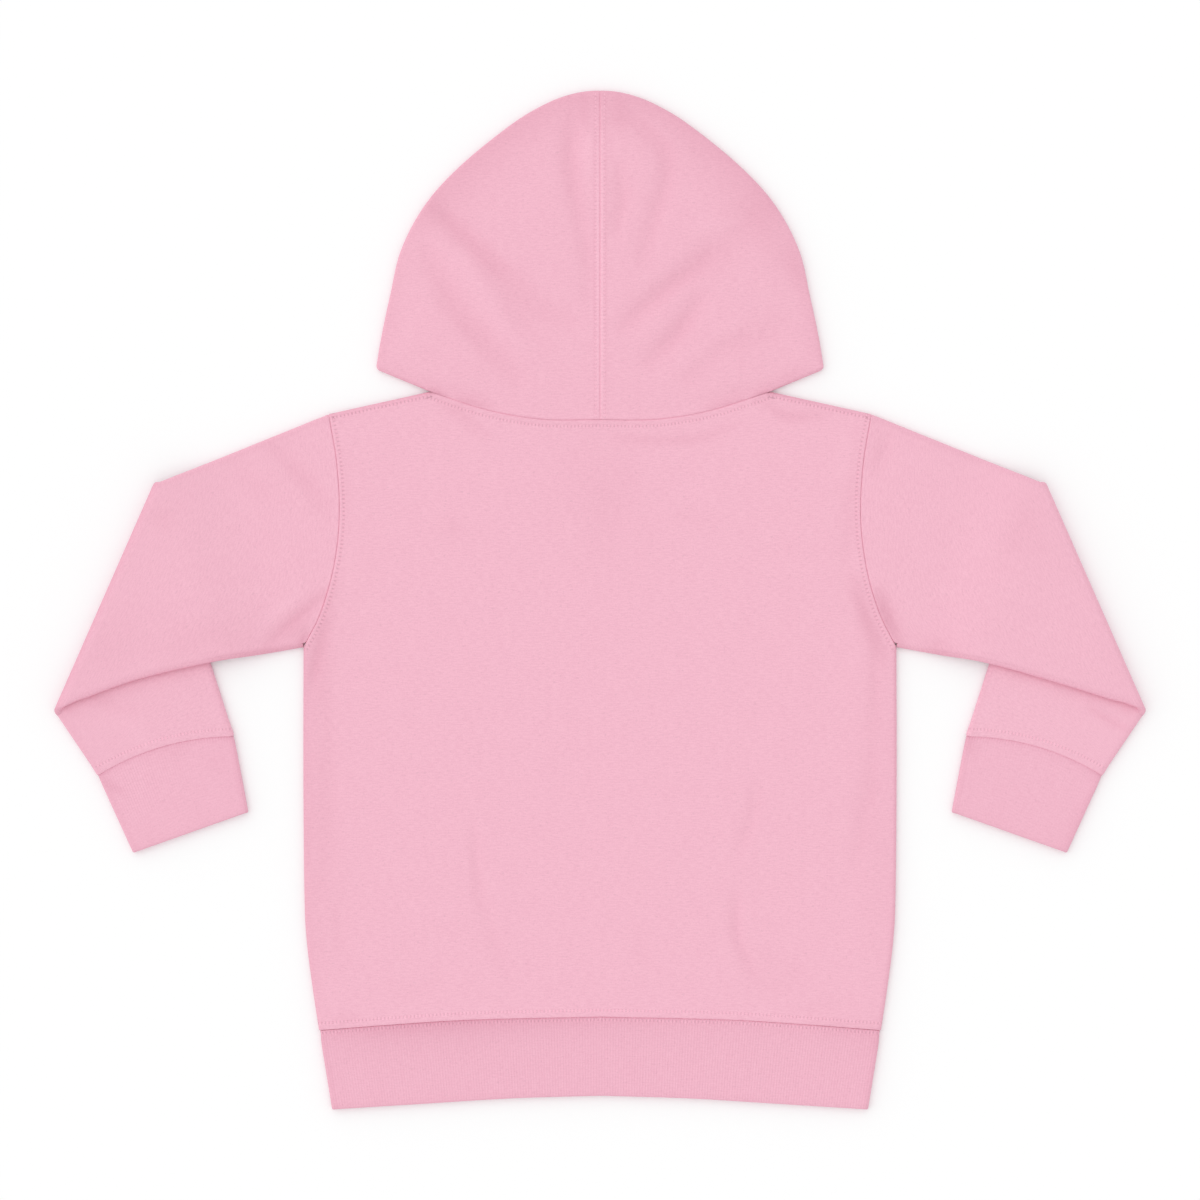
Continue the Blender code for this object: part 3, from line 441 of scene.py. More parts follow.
body = {
    "neckSide": (95.1, 116.6),
    "shoulder": (151.9, 104.0),
    "armhole": [(151.9, 104.0), (147.4, 77.4), (145.8, 48.0), (148.6, 20.3), (155.8, -6.0),
                (165.9, -26.4)],
    "side": [(165.9, -26.4), (166.0, -100.0), (165.4, -166.0), (164.2, -190.0), (161.4, -213.0),
             (157.3, -240.8)],
    "backNeck": [(0.0, 100.9), (32.0, 101.1), (62.9, 106.3), (95.1, 116.6)],
    "frontNeck": [(0.0, 62.0), (36.0, 66.0), (72.0, 86.0), (95.1, 116.6)],
    "waist": [(0.0, -233.2), (69.6, -234.8), (113.3, -237.4), (157.3, -240.8)],
    "fall": (15.0, 0.35),  # near its folded edges the back sinks, reach and depth
    "sunk": 0.15,
    "frontShare": 0.6,  # of the creases' depth
    "least": 0.3,  # thinnest cloth
    "calm": 6,  # the creases grow over this distance from a folded edge
    "uneven": (0.15, 24, 1.0),  # height, size and start of the slow waves
    "folds": [
        ([(-71, -126), (-69, -150), (-67, -168)], 2.8, 0.55),
        ([(-66, -160), (-61, -185), (-50, -212)], 4.5, 0.45),
        ([(88, -106), (84, -125), (77, -143)], 4, 0.6),
        ([(76, -164), (77, -188), (85, -208)], 3.5, 0.8),
        ([(84, -204), (101, -221)], 7, 0.4),
        ([(96, -199), (121, -217)], 6, 0.4),
        ([(110, -230), (143, -226)], 4, 0.4),
        ([(-112, -221), (-89, -216)], 5, 0.35),
        ([(22, -190), (26, -206)], 5, 0.3),
        ([(14, 66), (0, 30)], 10, 0.25),
        ([(-84, 41), (-76, 37)], 12, 0.15),
        ([(-153, -15), (-158, -32), (-162, -50)], 4, 0.6),
        ([(-151, -50), (-151, -157)], 5, 0.35),
        ([(-145, -168), (-145, -201)], 4, 0.3),
        ([(154, -28), (154, -68)], 4, 0.5),
        ([(150, -95), (143, -140)], 5, 0.35),
        ([(152, -65), (152, -112), (141, -154)], 5, 0.35),
        ([(145, 1), (154, -15), (161, -28)], 4, 0.6),
        ([(139, 60), (139, 5)], 6, 0.25),
    ],
    "paintedShadeMarks": [  # painted shade in creases and hollows, or painted highlight where the amount is negative
        ([(-164, -34), (-161, -100), (-158, -205)], 12, 0.45),
        ([(-148, 8), (-156, -20), (-160, -40)], 4, 0.8),
        ([(-152, -10), (-158, -60)], 7, 0.5),
        ([(143, 10), (150, -14), (158, -34)], 5, 1.1),
        ([(152, -20), (157, -60)], 6, 0.15),
        ([(156, -45), (155, -120), (154, -185)], 9, 0.25),
        ([(8, 91), (35, 89), (58, 91), (74, 98)], 3.2, 0.7),
        ([(-10, 90), (0, 60), (4, 40)], 24, 0.3),
        ([(-86, 41), (-78, 38)], 6, 0.3),
        ([(35, 47), (65, 46)], 4, 0.25),
        ([(90, 112), (104, 103), (124, 103)], 3.5, 0.9),
        ([(-92, 112), (-78, 104), (-66, 93)], 4, 0.7),
        ([(137, 92), (137, 70)], 4, -0.3),
        ([(144, 95), (142, 60), (141, 30)], 4, 0.35),
        ([(-144, 80), (-141, 40)], 5, 0.2),
        ([(-150, -236), (-136, -233)], 4, 0.5),
        ([(120, -236), (155, -239)], 5, 0.5),
    ],
    "creaseDepth": 1.3,
}
shoulderLine = np.array([body["neckSide"], body["shoulder"]])
armholeLine = smoothCurve(body["armhole"])
sideLine = smoothCurve(body["side"])

seams = {  # (distance from the seam, height over the plain cloth)
    "neckBody": [(0, -0.25), (0.2, -0.05), (0.45, 0.1), (1.2, 0.22), (2.8, 0.2), (3.6, 0.08),
                 (4.4, 0.1), (8, 0)],
    "neckHood": [(0, -0.2), (0.2, 0.0), (0.5, 0.25), (1.3, 0.35), (3, 0.1), (5, 0)],
    "armholeBody": [(0, -0.5), (0.2, -0.1), (0.6, 0.22), (1.7, 0.24), (2.5, 0.0), (3.2, 0.1), (5, 0)],
    "armholeSleeve": [(0, -0.5), (0.2, -0.1), (0.7, 0.08), (2.5, -0.04), (4, 0)],
    "waistBody": [(0, -0.4), (0.2, 0.0), (0.45, 0.2), (1.2, 0.35), (3, 0.3), (3.9, 0.12),
                  (4.8, 0.12), (7, 0)],
    "waistBand": [(0, -0.7), (0.2, -0.55), (0.5, -0.5), (1.1, -0.5), (1.7, -0.6), (2.4, -0.5),
                  (4, -0.3), (6, -0.12), (8, 0)],
    "shoulder": [(0, 0), (1.8, 0.08), (2.6, -0.1), (3.3, 0.05), (5, 0)],
    "hoodMiddle": [(0, -0.3), (0.4, 0.0), (1.0, 0.16), (1.8, 0.16), (2.4, 0.08), (3.2, 0.1), (5, 0)],
    "cuffSleeve": [(0, -0.25), (0.2, 0.0), (0.5, 0.15), (1.5, 0.25), (3.6, 0.2), (4.3, 0.06),
                   (5, 0.08), (7, 0)],
    "cuffBand": [(0, -0.3), (0.2, -0.2), (0.5, -0.2), (1.5, -0.2), (3, -0.1), (6, 0)],
}
darker = {  # (distance, how much painted shade the cloth gets there)
    "fold": [(0, 1.0), (1, 0.7), (2.2, 0.3), (4, 0.1), (7, 0)],
    "shoulder": [(0, 1.2), (1.5, 0.8), (2.2, 0.9), (2.8, 0.9), (3.4, 0.1), (6, 0)],
    "row": [(0, 0.5), (0.6, 0.4), (1.1, 0)],
    "sleeveFold": [(0, 0.5), (1, 0.35), (2.2, 0.12), (4, 0)],
    "welt": [(0, 0.3), (1.5, 0.15), (2.6, 0.4), (3.3, 0.35), (4.4, 0)],
    "elbow": [(0, 0.15), (2, 0.1), (5, 0)],
    "underArm": [(0, 0.8), (1.2, 0.4), (3, 0.12), (8, 0)],
    "hoodTop": [(0, 1.3), (4, 1.05), (11, 0.65), (20, 0.25), (33, 0)],
    "hoodSide": [(0, 0.7), (3, 0.4), (8, 0.1), (12, 0)],
}
stitchRows = {  # (distance to the right of the seam, from one stitch to the next)
    "neck": (3.6, 2.0),
    "shoulder": (2.6, 2.15),
    "armhole": (2.5, 2.3),
    "waist": (-3.9, 2.08),
    "band": (1.7, 2.08),
    "cuff": (-4.3, 1.97),
    "hoodMiddle": (2.5, 2.28),
}


def rowBeside(line, name):  # a stitch row along a seam
    away, pitch = stitchRows[name]
    return line + away * rightOf(line), pitch


def panelRows(neckTable):  # every stitch row of a panel, with its pitch
    rows = [rowBeside(wholeLine(neckTable), "neck")]
    for line, name in ((shoulderLine, "shoulder"), (armholeLine, "armhole")):
        row, pitch = rowBeside(line, name)
        rows += [(row, pitch), (mirrored(row), pitch)]
    return rows + [rowBeside(wholeLine(body["waist"]), "waist")]


def panelGrid(neckTable, step):
    nearSeam = cloth["nearSeam"]
    neck = wholeLine(neckTable)
    shoulderLength = runOf(shoulderLine)[-1]
    top = np.vstack([
        atShares(mirrored(shoulderLine), graded(shoulderLength, step, first=nearSeam)),
        atShares(neck, graded(runOf(neck)[-1], step))[1:],
        atShares(shoulderLine, graded(shoulderLength, step, last=nearSeam))[1:],
    ])
    side = sideLine[::-1]
    armhole = armholeLine[::-1]
    right = np.vstack([
        atShares(side, graded(runOf(side)[-1], step, first=nearSeam)),
        atShares(armhole, graded(runOf(armhole)[-1], step, last=nearSeam))[1:],
    ])
    waist = atShares(wholeLine(body["waist"]), runOf(top) / runOf(top)[-1])
    return patch(waist, top, right * [-1, 1], right)


def panelHeights(grid, neckTable, down):
    halfGrid = np.abs(grid[..., :1]) * [1, 0] + grid * [0, 1]
    toShoulder = awayFrom(shoulderLine, halfGrid)
    toFold = np.minimum(toShoulder, awayFrom(sideLine, halfGrid))
    toNeck = awayFrom(smoothCurve(neckTable), halfGrid)
    inward = np.clip(toFold / cloth["edge"], 0, 1)
    rise = cloth["edge"] * np.sqrt(1 - (1 - inward) ** 2) - body["sunk"]
    reach, amount = body["fall"]
    rise = rise - amount * (1 - smoothstep(toFold / reach)) * (0 if down else 1)
    rise = rise + relief(toNeck, seams["neckBody"])
    rise = rise + relief(awayFrom(armholeLine, halfGrid), seams["armholeBody"])
    rise = rise + relief(awayFrom(smoothCurve(body["waist"]), halfGrid), seams["waistBody"])
    rise = rise + relief(toShoulder, seams["shoulder"])
    # painted shade by the folded edges, the shoulder seam, the armhole stitch row and the neck welt
    paintedShade = np.maximum(relief(toFold, darker["fold"]), relief(toShoulder, darker["shoulder"]))
    paintedShade = paintedShade + relief(awayFrom(rowBeside(armholeLine, "armhole")[0], halfGrid), darker["row"])
    paintedShade = paintedShade + relief(toNeck, darker["welt"])
    return rise, smoothstep(toFold / body["calm"]), paintedShade


def panel(name, neckTable, step, base, down):
    grid = panelGrid(neckTable, step)
    rise, inside, paintedShade = panelHeights(grid, neckTable, down)
    folds = hiddenFolds(body["folds"], body["frontShare"]) if down else body["folds"]
    lift = foldsAt(grid, folds)
    paintedShade = paintedShade - cloth["troughPaintedShade"] * lift
    rise = rise + (body["creaseDepth"] * lift + unevenness(grid, *body["uneven"])) * inside
    if down:
        rise = np.minimum(rise, cloth["thick"])
    else:
        # painted shade and painted highlight on the back
        paintedShade = paintedShade - foldsAt(grid, body["paintedShadeMarks"])
    height = base + (-1 if down else 1) * np.maximum(rise, body["least"])
    piece = clothGrid(name, np.dstack([grid, height]), grid, panelRows(neckTable), paintedShade)
    bpy.ops.object.mode_set(mode="EDIT")
    bpy.ops.mesh.select_mode(type="EDGE")
    bpy.ops.mesh.select_all(action="DESELECT")
    bpy.ops.mesh.select_non_manifold()
    bpy.ops.mesh.extrude_region_move()
    bpy.ops.transform.resize(value=(1, 1, 0), center_override=(0, 0, base * mm))
    bpy.ops.mesh.edge_face_add()
    bpy.ops.object.mode_set(mode="OBJECT")
    closeUp(piece)
    return piece


back = panel("back", body["backNeck"], step=1.6, base=cloth["thick"] + 0.3, down=False)
finishPiece(back, looks["fleece"], "back_panel")
front = panel("front", body["frontNeck"], step=3.0, base=cloth["thick"], down=True)
finishPiece(front, looks["fleece"], "front_panel")
print("back and front ready")

# flattened tubes: each section point has a share across and its way out


def plainSection(columns, rimSteps):
    turn = np.pi * np.arange(1, rimSteps) / rimSteps
    share = np.concatenate([np.linspace(0, 1, columns + 1), np.ones(rimSteps - 1),
                            np.linspace(1, 0, columns + 1), np.zeros(rimSteps - 1), [0.0]])
    flat = np.ones(columns + 1)
    out = np.concatenate([0 * flat, np.sin(turn), 0 * flat, -np.sin(turn), [0.0]])
    up = np.concatenate([flat, np.cos(turn), -flat, -np.cos(turn), [1.0]])
    return {"share": share, "out": out, "up": up}


def ribSection(width, pitch, pointsPerRib):
    radius = cloth["edge"]
    flat = width - 2 * radius
    arc = math.pi * radius
    total = 2 * (flat + arc)
    ribs = round(total / pitch)
    t = np.linspace(0, total, ribs * pointsPerRib + 1)
    turnHigh = np.clip((t - flat) / radius, 0, math.pi)
    turnLow = np.clip((t - 2 * flat - arc) / radius, 0, math.pi)
    share = np.where(t < flat + arc / 2, t / flat, 1 - (t - flat - arc) / flat)
    share = np.clip(share, 0, 1)
    angle = turnHigh + turnLow
    angle[-1] = 2 * math.pi
    phase = np.arange(len(t)) / pointsPerRib
    groove = 0.5 + 0.5 * np.cos(2 * math.pi * phase)
    return {"share": share, "out": np.sin(angle), "up": np.cos(angle), "groove": groove, "run": t}


def rowAt(row, shares):
    t = np.linspace(0, 1, len(row))
    return np.column_stack([np.interp(shares, t, row[:, 0]), np.interp(shares, t, row[:, 1])])


def ribTube(name, top, low, left, right, width, look, table, rows):  # turned in at its open end
    section = ribSection(width, rib["pitch"], rib["points"])
    length = runOf(left)[-1]
    reach = rib["wall"] / 2
    flatRun = np.concatenate([cloth["nearSeam"][:9], np.linspace(3.0, length - reach, rib["rows"])])
    turn = np.linspace(0, math.pi, rib["turnSteps"])[1:]
    foldRun = length - reach + reach * np.sin(turn)
    runs = np.concatenate([flatRun, foldRun, [length * 0.5, 0.0]])
    sink = np.concatenate([0 * flatRun, (1 - np.cos(turn)) / 2, [1.0, 1.0]])
    order = np.unique(runs)
    grid = patch(top, low, atShares(left, order / length), atShares(right, order / length))
    leftRun, rightRun = unit(left[-1] - left[0]), unit(right[-1] - right[0])
    sideways = (-leftOf(leftRun), leftOf(rightRun))
    toFold = np.minimum(section["share"], 1 - section["share"]) * width
    points = []
    weave = []
    paintedShade = []
    for run, w in zip(runs, sink):
        plan = rowAt(grid[np.searchsorted(order, run)], section["share"])
        gathers = look["gathers"] * (1 - section["share"]) * math.exp(-run / rib["gatherRun"])
        ribs = -(look["ribDepth"] + gathers) * section["groove"] * (1 - w)
        step = relief(run, table) * (1 - w)
        radius = cloth["edge"] - rib["wall"] * w + ribs + step
        reachOut = np.abs(section["out"]) * radius
        way = np.where(section["out"][:, None] < 0, sideways[0], sideways[1])
        plan = plan + reachOut[:, None] * way
        height = cloth["edge"] + section["up"] * radius
        points.append(np.column_stack([plan, height]))
        along = np.full(len(plan), run + rib["insideWeave"] * w)
        weave.append(np.column_stack([section["run"], along]))
        # painted shade under the seam, fading with distance, at the folded hem and by the folded
        # edges, with painted shade marks
        shade = relief(plan[:, 0], look["paintedShadeUnderSeam"]) * math.exp(-run / look["fade"])
        paintedShadeAtHem = math.exp(-((length - run) / rib["hemReach"]) ** 2)
        shade = shade + relief(plan[:, 0], look["paintedShadeAtHem"]) * paintedShadeAtHem
        paintedShade.append(shade + relief(toFold, darker["sleeveFold"]) - foldsAt(plan, look["paintedShadeMarks"]))
    points.append(points[0])
    weave.append(weave[0])
    paintedShade.append(paintedShade[0])
    return clothGrid(name, np.array(points), np.array(weave), rows, np.array(paintedShade))


rib = {
    "pitch": 1.58,
    "points": 5,  # of the mesh, round one rib
    "wall": 1.9,
    "rows": 14,
    "turnSteps": 9,
    "gatherRun": 2.5,
    "hemReach": 1.4,
    "insideWeave": 60,  # the knit is moved on by this on the inside
}
band = {
    "width": 314.6,
    "across": 81,
    "hem": [(0.0, -277.4), (50.0, -278.9), (100.0, -281.9), (150.1, -285.0)],
    "ribDepth": 0.26,
    "gathers": 0.1,
    # painted shade under the waist seam along the band and at its folded hem; fade is how far it
    # reaches, in mm
    "paintedShadeUnderSeam": [(-157, 0.6), (-148, 1.1), (-118, 2.2), (-80, 2.3), (-45, 1.7), (0, 1.2), (60, 0.7),
                  (115, 0.6), (138, 1.1), (157, 1.2)],
    "fade": 8.0,
    "paintedShadeAtHem": [(-157, 0.7), (0, 0.4), (157, 0.3)],
    "paintedShadeMarks": [],
}


def drawnIn(line, start, end):  # the same line, from one x to another
    share = (line[:, 0] - line[0, 0]) / (line[-1, 0] - line[0, 0])
    return np.column_stack([start + share * (end - start), line[:, 1]])


def makeBand():
    radius = cloth["edge"]
    across = np.linspace(0, 1, band["across"])
    top = atShares(wholeLine(body["waist"]), across)
    low = atShares(wholeLine(band["hem"]), across)
    top = drawnIn(top, top[0, 0] + radius, top[-1, 0] - radius)
    low = drawnIn(low, low[0, 0] + radius, low[-1, 0] - radius)
    left = np.array([top[0], low[0]])
    right = np.array([top[-1], low[-1]])
    rows = [rowBeside(wholeLine(body["waist"]), "band")]
    piece = ribTube("bandCloth", top, low, left, right, band["width"], band, seams["waistBand"], rows)
    closeUp(piece)
    return piece


waistband = makeBand()
finishPiece(waistband, looks["rib"], "waistband")
print("waistband ready")

# sleeves, each one tube turned under at the elbow

sleeve = {
    "elbowTop": (250.0, 64.3),
    "elbowLow": (305.6, -62.1),
    "under": {
        -1: [(165.9, -26.4), (190.0, -30.6), (218.0, -35.0), (262.0, -45.6), (305.6, -62.1)],
        1: [(165.9, -26.4), (190.0, -30.8), (218.0, -35.7), (262.0, -48.3), (305.6, -62.1)],
    },
    "width": 138.0,
    "columns": 92,
    "rimSteps": 8,
    "across": 61,
    "turnSteps": 13,
    "near": 0.03,  # share of a folded edge over which its way is taken
    "insideWeave": 300,
    "upperRun": 110.0,  # from the armhole to the elbow
    "turnRun": 14.0,  # round the elbow
    "lowerRun": 90.0,  # from the elbow to the cuff
    "nearCorner": 14.0,
    "calm": 8,  # the creases grow over this distance from a folded edge
    "cornerReach": 12.0,  # the folded edges give way to the elbow's corners over this
    "elbowPaintedShade": {-1: 1.6, 1: 0.5},  # painted shade on the elbow's fold
    # painted light: the forearm's face is painted paler
    "forearmPaintedLight": {-1: -0.1, 1: -0.3},
    "corners": [  # share of the half turn, how far both ends are moved along the fold, how flat
        (0.0, -1.5, -5.0, 1.0, 0.4),
        (0.5, 0.3, -1.5, 1.0, 1.0),
        (1.0, 5.0, 0.2, 0.5, 1.0),
    ],
    "rise": 42.0,  # the upper arm climbs on to the forearm over this
    "step": 1.6,
    "uneven": {"upper": (0.15, 22, 3.0), "lower": (0.15, 18, 5.0)},
    "upperFolds": {
        -1: [
            ([(-185, 88), (-162, 64), (-151, 48)], 5, 0.9),
            ([(-207, 77), (-185, 55)], 6, 0.4),
            ([(-244, 48), (-242, 44)], 10, 0.4),
            ([(-152, 3), (-171, -10), (-185, -24)], 5, 1.0),
            ([(-164, -18), (-164, -21)], 4, 0.6),
        ],
        1: [
            ([(157, 75), (163, 95)], 4, 0.5),
            ([(242, 53), (226, 21)], 6, 0.5),
            ([(159, 1), (166, -15)], 4, 0.7),
            ([(187, -24), (190, -25)], 5, 0.6),
        ],
    },
    "lowerFolds": {
        -1: [([(-281, -54), (-262, -62)], 5, 0.5), ([(-268, -62), (-250, -84)], 6, -0.4)],
        1: [([(275, -60), (297, -73)], 3, 0.9)],
    },
    # painted shade under the upper arm and in the underarm creases, or painted highlight where the
    # amount is negative
    "paintedShadeMarks": {
        -1: [
            ([(-163, -11), (-174, -22)], 6, 0.9),
            ([(-153, 4), (-163, -4), (-175, -14), (-187, -26)], 2.2, 0.7),
            ([(-168, 2), (-182, -8), (-192, -18)], 4, -0.4),
            ([(-218, -35), (-190, -30), (-168, -26)], 3, 1.5),
            ([(-246, 50), (-240, 41)], 6, 0.3),
            ([(-165, -20), (-168, -26)], 2, 1.6),
            ([(-250, -24), (-188, -20)], 14, 0.4),
            ([(-282, -40), (-266, -14)], 13, 0.4),
        ],
        1: [
            ([(155, 4), (160, -10), (168, -25)], 4.5, 1.7),
            ([(182, -26), (196, -29)], 5, 0.7),
            ([(180, -29), (214, -35)], 2.5, 0.8),
            ([(155, 98), (153, 70)], 4, 0.4),
            ([(236, 50), (246, 20)], 12, 0.25),
        ],
    },
    "creaseDepth": 1.25,
}
cuff = {
    "across": 41,
    "outer": (281.0, -98.4),
    "inner": (205.0, -75.8),
    "endOuter": (261.3, -141.7),
    "endInner": (196.8, -119.0),
    "bulge": 5.0,
    "ribDepth": 0.1,
    "gathers": 0.3,
    # painted shade under the cuff seam and at its folded hem; fade is how far it reaches, in mm
    "paintedShadeUnderSeam": [(205, 1.4), (215, 1.1), (250, 1.0), (272, 1.5), (281, 2.2)],
    "fade": 1.6,
    "paintedShadeAtHem": [(190, 0.3), (262, 0.3)],
    # painted shade on each cuff
    "marks": {
        -1: [([(-278, -102), (-267, -107)], 2.5, 1.2), ([(-245, -88), (-232, -84)], 6, 0.35),
             ([(-216, -88), (-212, -92)], 7, 0.35)],
        1: [([(205, -77), (209, -86)], 4, 0.7), ([(258, -140), (270, -116)], 5, 0.3)],
    },
}


def bowed(start, end, bulge):
    run = unit(end - start)
    t = np.linspace(0, 1, 33)[:, None]
    return start + (end - start) * t + leftOf(run) * bulge * 4 * t * (1 - t)


def insetLine(start, end, way, first):
    run = unit(np.array(end) - np.array(start))
    inward = way * leftOf(run)
    near = np.array(start) + sleeve["nearCorner"] * run + cloth["edge"] * inward
    return np.array([first, near, np.array(end) + cloth["edge"] * inward])


def waysOut(first, second, share, fold):  # square to the two folded edges
    ways = []
    for line, side in ((first, -1.0), (second, 1.0)):
        near = atShares(line, [max(share - sleeve["near"], 0.0), min(share + sleeve["near"], 1.0)])
        way = -leftOf(unit(near[1] - near[0]))
        ways.append(way if np.dot(way, fold) * side > 0 else -way)
    return ways


def cuffSeamWays():  # the same at the cuff's seam, halfway between sleeve and cuff
    ways = []
    for elbow, seam, end, side in ((sleeve["elbowTop"], cuff["inner"], cuff["endInner"], 1),
                                   (sleeve["elbowLow"], cuff["outer"], cuff["endOuter"], -1)):
        run = unit(np.subtract(seam, elbow)) + unit(np.subtract(end, seam))
        ways.append(-side * leftOf(unit(run)))
    return ways


def cornersAt(turned):  # at a share of the elbow's half turn
    given = np.array(sleeve["corners"])
    return [np.interp(turned, given[:, 0], given[:, k]) for k in range(1, 5)]


def blended(first, second, share):  # one way turned towards another
    return unit((1 - share) * first + share * second)


def sleeveStations(side):  # rings of the tube, from the armhole round the elbow to the cuff
    radius = cloth["edge"]
    upperRun, lowerRun, reach = sleeve["upperRun"], sleeve["lowerRun"], sleeve["cornerReach"]
    shoulder = np.array(body["shoulder"])
    top, low = np.array(sleeve["elbowTop"]), np.array(sleeve["elbowLow"])
    fold = unit(low - top)
    inward = -leftOf(fold)

    def axisAt(turned):  # the middle of the fold, from its upper to its lower corner
        start, end = cornersAt(turned)[:2]
        return np.array([top + start * fold, low + end * fold]) + cloth["foldAxis"] * inward

    up = leftOf(unit(top - shoulder))
    upperTop = np.array([shoulder - radius * up, axisAt(0.0)[0]])
    under = smoothCurve(sleeve["under"][side])
    underIn = under - radius * rightOf(under)
    kept = runOf(underIn) < runOf(underIn)[-1] - reach
    upperLow = np.vstack([underIn[kept], axisAt(0.0)[1]])
    armhole = armholeLine.copy()
    armhole[0] = upperTop[0]
    armhole[-1] = upperLow[0]
    across = np.linspace(0, 1, sleeve["across"])
    shares = graded(upperRun, sleeve["step"], first=cloth["nearSeam"])
    upper = patch(atShares(armhole, across), atShares(axisAt(0.0), across),
                  atShares(upperTop, shares), atShares(upperLow, shares))
    innerEdge = insetLine(sleeve["elbowTop"], cuff["inner"], 1, axisAt(1.0)[0])
    cuffEnd = insetLine(sleeve["elbowLow"], cuff["outer"], -1, low)[-1]
    outerEdge = np.array([axisAt(1.0)[1], cuffEnd])
    outerWay = leftOf(unit(outerEdge[1] - outerEdge[0]))
    stations = []
    for row, share in zip(upper[:-1], shares):
        left = upperRun * (1 - share)
        ways = waysOut(upperTop, upperLow, share, fold)
        flat = 1 - (1 - cornersAt(0.0)[3]) * smoothstep(1 - left / reach)
        stations.append({"part": "upper", "row": row, "run": upperRun * share, "flat": (1.0, flat),
                         "ways": (up, blended(ways[1], fold, smoothstep(1 - 2 * left / reach)))})
    for angle in np.linspace(0, math.pi, sleeve["turnSteps"]):
        turned = angle / math.pi
        ways = (blended(up, -fold, min(2 * turned, 1)),
                blended(fold, outerWay, max(2 * turned - 1, 0)))
        stations.append({"part": "elbow", "row": atShares(axisAt(turned), across), "angle": angle,
                         "run": upperRun + cloth["foldAxis"] * angle, "ways": ways,
                         "outward": -inward, "flat": cornersAt(turned)[2:]})
    seam = bowed(innerEdge[-1], outerEdge[-1], cuff["bulge"])
    shares = graded(lowerRun, sleeve["step"], last=cloth["nearSeam"])
    lower = patch(atShares(axisAt(1.0), across), atShares(seam, across),
                  atShares(innerEdge, shares), atShares(outerEdge, shares))
    for k in range(1, len(lower)):
        ways = waysOut(innerEdge, outerEdge, shares[k], fold)
        near = smoothstep(1 - lowerRun * shares[k] / reach)
        ways = (blended(ways[0], -fold, near), outerWay)
        flat = 1 - (1 - cornersAt(1.0)[2]) * near
        if k == len(lower) - 1:
            ways = cuffSeamWays()
        run = upperRun + sleeve["turnRun"] + lowerRun * shares[k]
        stations.append({"part": "lower", "row": lower[k], "run": run, "ways": ways,
                         "flat": (flat, 1.0)})
    return stations, armhole, seam


def clearOfForearm(plan):  # distance from the forearm's inner edge
    run = unit(np.subtract(cuff["inner"], sleeve["elbowTop"]))
    return (plan - sleeve["elbowTop"]) @ -leftOf(run)


def cuffRow(seam, side):
    row, pitch = rowBeside(seam, "cuff")
    return (row if side > 0 else mirrored(row)), pitch


